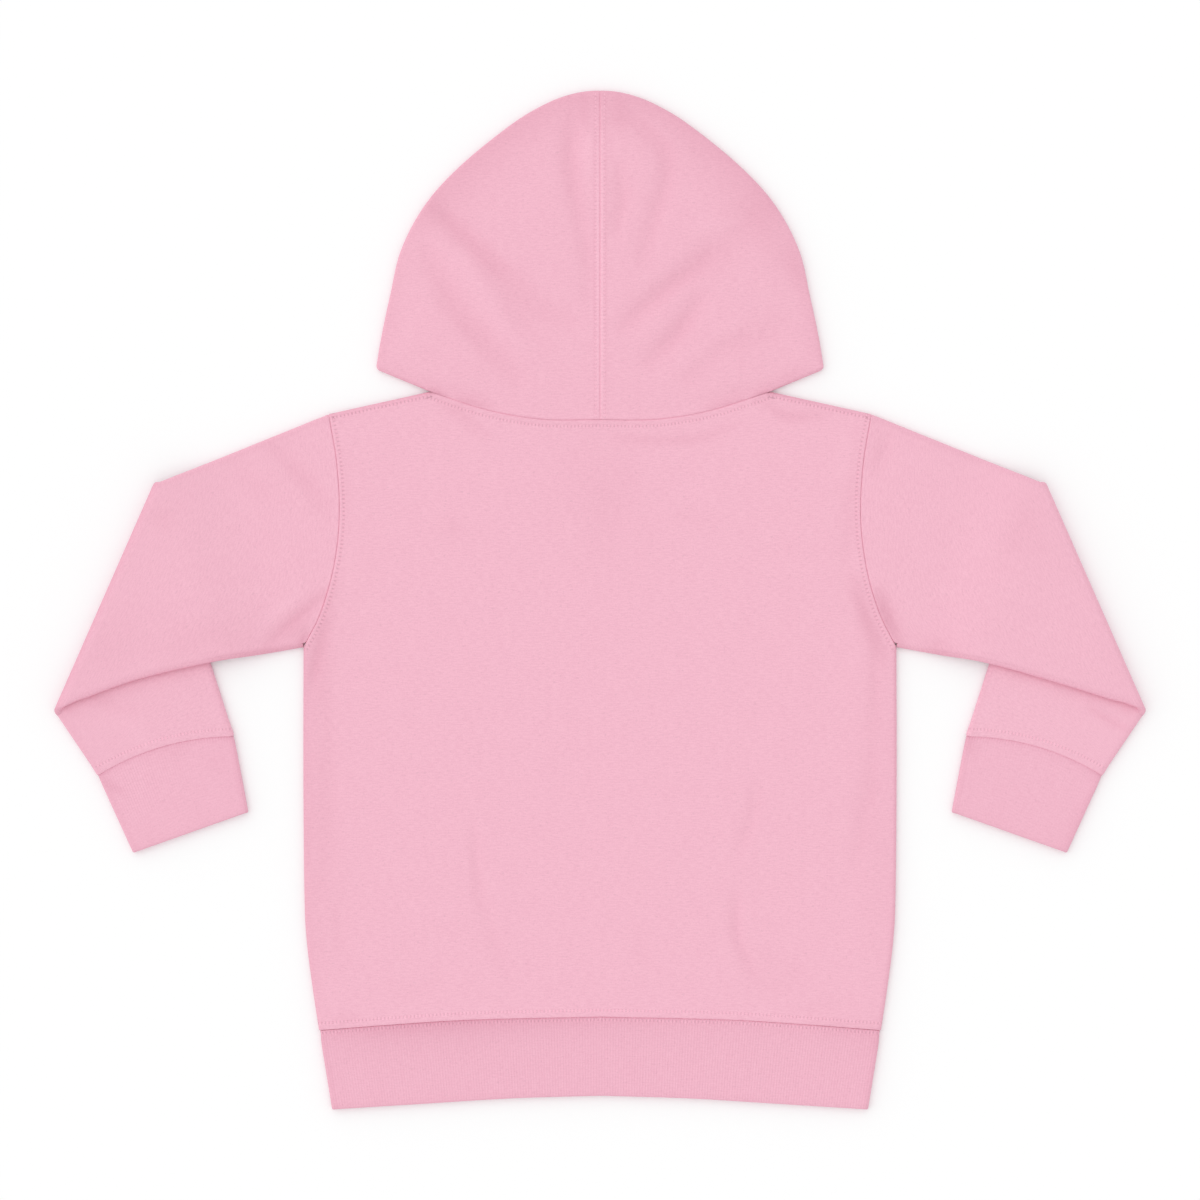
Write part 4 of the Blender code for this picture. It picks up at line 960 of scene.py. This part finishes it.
def makeSleeve(name, side):
    section = plainSection(sleeve["columns"], sleeve["rimSteps"])
    stations, armhole, seam = sleeveStations(side)
    across = np.abs(np.diff(section["share"])) * sleeve["width"]
    turned = np.abs(np.diff(np.unwrap(np.arctan2(section["out"], section["up"]))))
    run = np.concatenate([[0.0], np.cumsum(across + turned * cloth["edge"])])
    inner = stations[::-8] + [stations[0]]  # the inside of the tube, back to the armhole
    toFold = np.minimum(section["share"], 1 - section["share"]) * sleeve["width"]
    inside = smoothstep(toFold / sleeve["calm"])
    under = smoothCurve(sleeve["under"][side])
    ends = {"upper": (1, armhole, "armholeSleeve"), "lower": (-1, seam, "cuffSleeve")}
    points = []
    weave = []
    paintedShadeRows = []
    for station, w in [(s, 0.0) for s in stations] + [(s, 1.0) for s in inner]:
        row = rowAt(station["row"], section["share"])
        up, out = section["up"], section["out"]
        radius = np.full(len(row), cloth["edge"] - cloth["thick"] * w)
        # painted shade by the folded edges, and on the elbow's fold
        paintedShade = relief(toFold, darker["sleeveFold"])
        if station["part"] == "elbow":
            paintedShade = paintedShade + sleeve["elbowPaintedShade"][side] * math.sin(station["angle"])
        if w == 0.0 and station["part"] != "elbow":  # creases and painted shade on the face that lies up
            actual = row * [side, 1.0]
            facing, sewnTo, table = ends[station["part"]]
            radius += relief(awayFrom(sewnTo, row), seams[table])
            creases = foldsAt(actual, sleeve[station["part"] + "Folds"][side])
            lift = sleeve["creaseDepth"] * creases
            lift = lift + unevenness(actual, *sleeve["uneven"][station["part"]])
            radius += np.where(facing * up > 0.99, lift * inside, 0.0)
            facePaintedShade = -cloth["troughPaintedShade"] * creases
            if station["part"] == "upper":
                facePaintedShade = facePaintedShade - foldsAt(actual, sleeve["paintedShadeMarks"][side])
                # painted shade near the elbow
                paintedShade = paintedShade + relief(sleeve["upperRun"] - station["run"], darker["elbow"])
            else:
                shadow = relief(awayFrom(under, row), darker["underArm"])
                facePaintedShade = facePaintedShade + sleeve["forearmPaintedLight"][side] + shadow
            paintedShade = paintedShade + np.where(facing * up > 0, facePaintedShade, 0.0)
        paintedShadeRows.append(paintedShade)
        way = np.where(out[:, None] < 0, station["ways"][0], station["ways"][1])
        flat = np.where(out < 0, station["flat"][0], station["flat"][1])
        plan = row + (np.abs(out) * radius * flat)[:, None] * way
        h = cloth["edge"] + up * radius
        if station["part"] == "elbow":
            reach = cloth["foldAxis"] - cloth["tube"] + h
            plan = plan + (reach * math.sin(station["angle"]))[:, None] * station["outward"]
            height = cloth["foldAxis"] + reach * math.cos(station["angle"])
        elif station["part"] == "lower":
            height = np.maximum(cloth["tube"] - h, 0.0)
        else:
            rise = 1 - smoothstep((clearOfForearm(row) - cloth["thick"]) / sleeve["rise"])
            height = np.maximum(h, 0.0) + cloth["lifted"] * rise
        points.append(np.column_stack([plan * [side, 1.0], height]))
        along = np.full(len(run), station["run"] + sleeve["insideWeave"] * w)
        weave.append(np.column_stack([run, along]))
    points.append(points[0])
    weave.append(weave[0])
    paintedShadeRows.append(paintedShadeRows[0])
    rows = [cuffRow(seam, side)]
    piece = clothGrid(name, np.array(points), np.array(weave), rows, np.array(paintedShadeRows))
    closeUp(piece)
    return piece


def makeCuff(name, side):  # drawn on the right, and turned over for the left
    radius = cloth["edge"]
    seam = sleeveStations(side)[2]
    edges = []
    for meeting, seamEnd, openEnd, way in ((seam[0], cuff["inner"], cuff["endInner"], 1),
                                           (seam[-1], cuff["outer"], cuff["endOuter"], -1)):
        run = unit(np.subtract(openEnd, seamEnd))
        inward = way * leftOf(run)
        edges.append(np.array([meeting, openEnd + radius * inward]))
    across = np.linspace(0, 1, cuff["across"])
    top = atShares(seam, across)
    low = atShares(np.array([edges[0][-1], edges[1][-1]]), across)
    width = np.linalg.norm(edges[1][0] - edges[0][0]) + 2 * radius
    marks = cuff["marks"][side]
    look = dict(cuff, paintedShadeMarks=marks if side > 0 else turnedOver(marks))
    piece = ribTube(name, top, low, edges[0], edges[1], width, look, seams["cuffBand"], ())
    if side < 0:
        flat = np.empty(3 * len(piece.data.vertices))
        piece.data.vertices.foreach_get("co", flat)
        flat[0::3] *= -1
        piece.data.vertices.foreach_set("co", flat)
    closeUp(piece)
    return piece


sleeves = {}
cuffs = {}
for side, word in ((-1, "left"), (1, "right")):
    sleeves[side] = makeSleeve("sleeve" + word.title(), side)
    finishPiece(sleeves[side], looks["fleece"], "sleeve_" + word)
    cuffs[side] = makeCuff("cuff" + word.title(), side)
    finishPiece(cuffs[side], looks["rib"], "cuff_" + word)
print("sleeves and cuffs ready")

# hood, two halves joined on the centre seam

hood = {
    "corner": (125.5, 129.2),
    "cornerRadius": 3.0,
    "puff": 2.6,
    "puffRun": 55.0,
    "wall": 1.7,
    "edge": [(125.5, 129.2), (122.3, 148.0), (117.4, 171.0), (111.4, 196.0), (98.2, 220.9),
             (78.5, 242.8), (50.0, 266.0), (30.0, 278.0), (14.0, 283.7), (0.0, 285.2)],
    "turn": 4,  # the edge point where the side becomes the top
    "face": [(0.0, 62.0), (26.0, 82.0), (48.0, 118.0), (57.0, 160.0), (51.0, 205.0), (30.0, 240.0),
             (0.0, 256.0)],
    "neckGap": 0.3,  # kept free of the side of the neck
    "neckStep": 1.3,
    "sideStep": 1.35,
    "sideRun": 185.0,
    "cornerSteps": (0, 0.25, 0.55, 0.9, 1.3, 1.8, 2.4),
    "steady": 1.2,  # the way out of the edge is taken over this on both sides
    "closing": 4.0,  # the folded edge opens over this distance from the neck
    "calm": 14,  # the creases grow over this distance from the edge
    "uneven": (0.18, 22, 7.0),
    "rimSteps": 8,
    "underRun": 60.0,
    "underStep": 2.2,
    "underShare": 0.25,  # of the creases' depth
    "insideWeave": 400,
    "folds": [
        ([(-95, 222), (-69, 197), (-54, 183), (-32, 162), (-17, 155)], 6.5, 1.0),
        ([(-90, 217), (-84, 211), (-66, 194), (-56, 185)], 4, 0.7),
        ([(-97, 192), (-87, 175), (-82, 164), (-63, 142), (-47, 125)], 6.5, 1.2),
        ([(-92, 202), (-70, 178), (-50, 150), (-30, 134)], 6, -0.5),
        ([(-61, 183), (-39, 149), (-30, 134)], 7, 0.6),
        ([(-15, 270), (-17, 248), (-13, 220), (-7, 190), (-6, 168)], 5, 0.8),
        ([(-16, 262), (-17, 245), (-14, 228)], 6, 0.5),
        ([(-6, 264), (-6, 237)], 4, -0.5),
        ([(10, 242), (12, 225), (9, 205)], 4.5, 0.9),
        ([(8, 268), (22, 265), (35, 252), (37, 235), (30, 214), (24, 190)], 5.5, 1.0),
        ([(26, 269), (45, 255)], 5, -0.5),
        ([(13, 153), (32, 170), (50, 184), (60, 192)], 5.5, 1.3),
        ([(52, 182), (68, 196), (80, 208)], 11, 0.8),
        ([(78, 212), (90, 220)], 8, 0.3),
        ([(28, 134), (43, 149), (56, 168)], 5.5, 1.3),
        ([(50, 125), (63, 140), (82, 144), (101, 153)], 8, 0.7),
        ([(107, 184), (109, 187)], 9, 0.5),
        ([(54, 208), (78, 211)], 5, -0.4),
        ([(76, 155), (39, 125)], 5, -0.5),
        *bothSides([([(93, 119), (60, 110)], 4, 0.9)]),
    ],
    # painted shade, or painted highlight where the amount is negative
    "paintedShadeMarks": [
        *bothSides([
            ([(96, 117.5), (86, 114)], 2.2, 1.5),
            ([(1.2, 262), (1.2, 108)], 0.7, -0.8),
            ([(3.3, 280), (3.3, 104)], 0.8, 0.5),
        ]),
        ([(-80, 112.5), (-62, 108)], 1.8, 1.1),
        ([(80, 112.5), (60, 107)], 1.8, 1.0),
        ([(-9, 284), (-8, 262)], 3, 0.6),
        ([(10, 284), (12, 266)], 5, 0.5),
        ([(86, 222), (96, 200), (112, 178)], 9, 0.35),
        ([(106, 200), (111, 178)], 6, 0.45),
        ([(101, 122), (108, 126)], 4, 0.6),
    ],
    "creaseDepth": 1.35,
}


def hoodLines():
    neck = np.array(body["neckSide"])
    corner = np.array(hood["corner"])
    run = unit(corner - neck)
    steps = cloth["curveSteps"]
    edge = smoothCurve(np.vstack([hood["edge"], mirrored(hood["edge"][-2:-1])]))[:-steps]
    up = unit(edge[6] - corner)
    halfTurn = 0.5 * math.acos(float(np.dot(run, up)))
    cut = hood["cornerRadius"] * math.tan(halfTurn)
    centre = corner - cut * run + hood["cornerRadius"] * leftOf(run)
    start = math.atan2(-run[0], run[1]) + math.pi
    angles = start + 2 * halfTurn * np.linspace(0, 1, 9)
    arc = centre - hood["cornerRadius"] * np.column_stack([np.cos(angles), np.sin(angles)])
    turn = steps * hood["turn"]
    runs = runOf(edge)
    lower = np.vstack([neck + hood["neckGap"] * run, arc[:5]])
    side = np.vstack([arc[4:], edge[(runs > cut + 0.5) & (runs <= runs[turn])]])
    return lower, side, edge[turn:]


def middleRow(side, low, high):  # the stitch row beside the centre seam
    away, pitch = stitchRows["hoodMiddle"]
    return np.array([(away * side, low), (away * side, high)]), pitch


def makeHood(name, side):
    radius = cloth["edge"]
    lower, right, top = hoodLines()
    neck = smoothCurve(body["backNeck"])
    step, nearSeam = hood["neckStep"], cloth["nearSeam"]
    neckRow = atShares(neck, graded(runOf(neck)[-1], step, first=nearSeam))
    lowerRow = atShares(lower, graded(runOf(lower)[-1], step, last=hood["cornerSteps"]))
    upShares = graded(hood["sideRun"], hood["sideStep"], first=nearSeam)
    rightRow = atShares(right, upShares)
    lowRun = runOf(np.vstack([neckRow, lowerRow]))
    topRow = atShares(top, 1 - lowRun[::-1] / lowRun[-1])
    outline = np.vstack([lowerRow, rightRow[1:], topRow[1:]])
    ways = steadyRight(outline, hood["steady"])
    ways[-1] = (0.0, 1.0)
    rounding = (radius * smoothstep(runOf(outline) / hood["closing"]))[:, None]
    rim = outline - rounding * ways
    rim[-1][0] = 0.0
    a, b = len(lowerRow) - 1, len(lowerRow) + len(rightRow) - 2
    low = np.vstack([neckRow, rim[:a + 1]])
    high = rim[b:][::-1]
    middle = atShares(np.array([neckRow[0], rim[-1]]), upShares)
    grid = patch(low, high, middle, rim[a:b + 1])
    edge = np.vstack([neck, rim])
    near = awayFrom(edge, grid)
    actual = grid * [side, 1.0]
    creases = foldsAt(actual, hood["folds"])
    rise = hood["puff"] * (1 - (1 - np.clip(near / hood["puffRun"], 0, 1)) ** 2)
    waves = hood["creaseDepth"] * creases + unevenness(actual, *hood["uneven"])
    rise += waves * smoothstep(near / hood["calm"])
    rise += relief(grid[..., 0], seams["hoodMiddle"])
    rise += relief(awayFrom(neck, grid), seams["neckHood"])
    topSheet = np.dstack([grid, cloth["tube"] + rise])
    rimStart = np.vstack([topSheet[0, len(neckRow):], topSheet[1:, -1], topSheet[-1, ::-1][1:]])
    steps = hood["rimSteps"]
    turned = [rimStart]
    for n in range(1, steps + 1):
        angle = math.pi * n / steps
        plan = rim + rounding * math.sin(angle) * ways
        drop = (rimStart[:, 2] - cloth["tube"]) * (1 - n / steps)
        turned.append(np.column_stack([plan, radius + radius * math.cos(angle) + drop]))
    rimSheet = np.array(turned).transpose(1, 0, 2)
    frontNeck = smoothCurve(body["frontNeck"])
    frontRow = atShares(frontNeck, np.linspace(0, 1, 13))
    outer = np.vstack([frontRow, rim])
    opening = np.maximum(smoothCurve(hood["face"]), 0.0)
    face = atShares(opening, runOf(outer) / runOf(outer)[-1])
    across = graded(hood["underRun"], hood["underStep"], last=(0, 0.4, 1.0, 1.8))[None, :, None]
    under = face[:, None] * (1 - across) + outer[:, None] * across
    dip = foldsAt(under * [side, 1.0], hiddenFolds(hood["folds"], hood["underShare"]))
    dip = dip * smoothstep(awayFrom(rim, under) / hood["calm"])
    dip = dip + relief(awayFrom(frontNeck, under), seams["neckHood"])
    dip[len(frontRow):, -1] = 0.0  # level where it joins the rim
    underSheet = np.dstack([under, np.maximum(-dip, 0.0)])
    topRim, sideRim = outline[b:], outline[:b + 1]
    # painted shade near the hood's top and side edges
    paintedShade = [np.maximum(relief(awayFrom(topRim, part[..., :2]), darker["hoodTop"]),
                        relief(awayFrom(sideRim, part[..., :2]), darker["hoodSide"]))
             for part in (topSheet, rimSheet, underSheet)]
    # painted shade in the creases, with painted shade and painted highlight marks
    paintedShade[0] = paintedShade[0] - cloth["troughPaintedShade"] * creases - foldsAt(actual, hood["paintedShadeMarks"])
    sheets = []
    for part, points, shade in zip(("Top", "Rim", "Under"), (topSheet, rimSheet, underSheet), paintedShade):
        points = points * [side, 1.0, 1.0]
        weave = points[..., :2] + (0 if part == "Top" else hood["insideWeave"])
        rows = [middleRow(side, 100.0, 286.0)] if part == "Top" else ()
        sheets.append(clothGrid(name + part, points, weave, rows, shade))
    piece = joined(sheets, name)
    closeUp(piece)
    if piece.data.polygons[len(piece.data.polygons) // 4].normal.z < 0:  # turned inside out
        bpy.ops.object.mode_set(mode="EDIT")
        bpy.ops.mesh.select_all(action="SELECT")
        bpy.ops.mesh.flip_normals()
        bpy.ops.object.mode_set(mode="OBJECT")
    wall = piece.modifiers.new("Wall", "SOLIDIFY")
    wall.thickness = hood["wall"] * mm
    wall.offset = -1.0
    bpy.ops.object.modifier_apply(modifier="Wall")
    return piece


hoods = {}
for side, word in ((-1, "left"), (1, "right")):
    hoods[side] = makeHood("hood" + word.title(), side)
    finishPiece(hoods[side], looks["hood"], "hood_" + word)
print("hood ready")

# topstitching

stitch = {"length": 1.5, "wide": 0.5, "high": 0.3, "above": 0.05}


def oneStitch():
    bpy.ops.mesh.primitive_uv_sphere_add(segments=8, ring_count=5, radius=0.5 * mm,
                                         rotation=(0, math.pi / 2, 0))
    piece = bpy.context.object
    bpy.ops.object.transform_apply(location=False, rotation=True, scale=False)
    piece.data.transform(Matrix.Diagonal((stitch["length"], stitch["wide"], stitch["high"], 1.0)))
    piece.data.uv_layers[0].name = "weave"
    piece.data.uv_layers.new(name="rows")
    setMap(piece.data, "rows", np.tile([0.5, 99.0], (len(piece.data.vertices), 1)))  # off every row
    return piece


def sewRow(pattern, piece, line, pitch, below=False):
    tree = BVHTree.FromObject(piece, bpy.context.evaluated_depsgraph_get())
    count = int(runOf(line)[-1] / pitch)
    shares = (np.arange(count) + 0.5) / count
    quarter = 0.25 / count
    centres = atShares(line, shares)
    ahead = atShares(line, np.minimum(shares + quarter, 1)) - atShares(line, shares - quarter)
    made = []
    way = Vector((0, 0, 1 if below else -1))
    for (x, y), (dx, dy) in zip(centres, ahead):
        spot, normal = tree.ray_cast(Vector((x, y, 0)) * mm - 50 * mm * way, way)[:2]
        if spot is None:
            continue
        forward = Vector((dx, dy, 0.0)).normalized()
        forward = (forward - normal * forward.dot(normal)).normalized()
        across = normal.cross(forward)
        turn = Matrix((forward, across, normal)).transposed().to_4x4()
        copy = pattern.copy()
        copy.data = pattern.data.copy()
        bpy.context.collection.objects.link(copy)
        place = spot + normal * stitch["above"] * mm
        place.z = max(place.z, 1.2 * stitch["high"] * mm)  # clear of the floor
        copy.data.transform(Matrix.Translation(place) @ turn)
        made.append(copy)
    return made


def sewn(name, rows):
    pattern = oneStitch()
    made = []
    for piece, line, pitch, below in rows:
        made += sewRow(pattern, piece, line, pitch, below)
    bpy.data.objects.remove(pattern, do_unlink=True)
    whole = joined(made, name)
    finishPiece(whole, looks["thread"], None)
    return whole


def seam(piece, rows, below=False):
    return [(piece, line, pitch, below) for line, pitch in rows]


stitches = {
    "back": sewn("backStitches", seam(back, panelRows(body["backNeck"]))),
    "front": sewn("frontStitches", seam(front, panelRows(body["frontNeck"]), True)),
}
for side, word in ((-1, "Left"), (1, "Right")):
    rows = seam(hoods[side], [middleRow(side, 101.5, 284.0)])
    stitches["hood" + word] = sewn("hoodStitches" + word, rows)
    ring = [cuffRow(sleeveStations(1)[2], side)]
    rows = seam(sleeves[side], ring) + seam(sleeves[side], ring, True)
    stitches["sleeve" + word] = sewn("sleeveStitches" + word, rows)
print("stitches ready")

# floor, light and camera, in metres

studio = {
    "paper": (0.957, 0.957, 0.957, 1.0),
    "air": 0.907,
    "key": 0.64,
    "keyPlace": (-1.6, 0.8, 1.7),
    "keySpread": 90,  # degrees
    "cameraHeight": 1.8686,
    "lens": 100,
}

paper = bpy.data.materials.new("paper")
paper.use_nodes = True
setInputs(paper.node_tree.nodes["Principled BSDF"],
          {"Base Color": studio["paper"], "Roughness": 1.0, "Specular IOR Level": 0.0})
bpy.ops.mesh.primitive_plane_add(size=8.0, location=(0, 0, -0.05 * mm))
floor = bpy.context.object
floor.name = "floor"
floor.data.materials.append(paper)

world = bpy.data.worlds.new("studio")
bpy.context.scene.world = world
world.use_nodes = True
setInputs(world.node_tree.nodes["Background"],
          {"Color": (1.0, 1.0, 1.0, 1.0), "Strength": studio["air"]})
bpy.ops.object.light_add(type="SUN", location=studio["keyPlace"])
key = bpy.context.object
key.name = "softKey"
key.data.angle = math.radians(studio["keySpread"])
key.data.energy = studio["key"]
key.rotation_euler = (-key.location).to_track_quat("-Z", "Y").to_euler()

bpy.ops.object.camera_add(location=(0, 0, studio["cameraHeight"]), rotation=(0, 0, 0))
camera = bpy.context.object
camera.data.lens = studio["lens"]
camera.data.sensor_width = 36
bpy.context.scene.camera = camera
bpy.context.scene.view_settings.view_transform = "Standard"
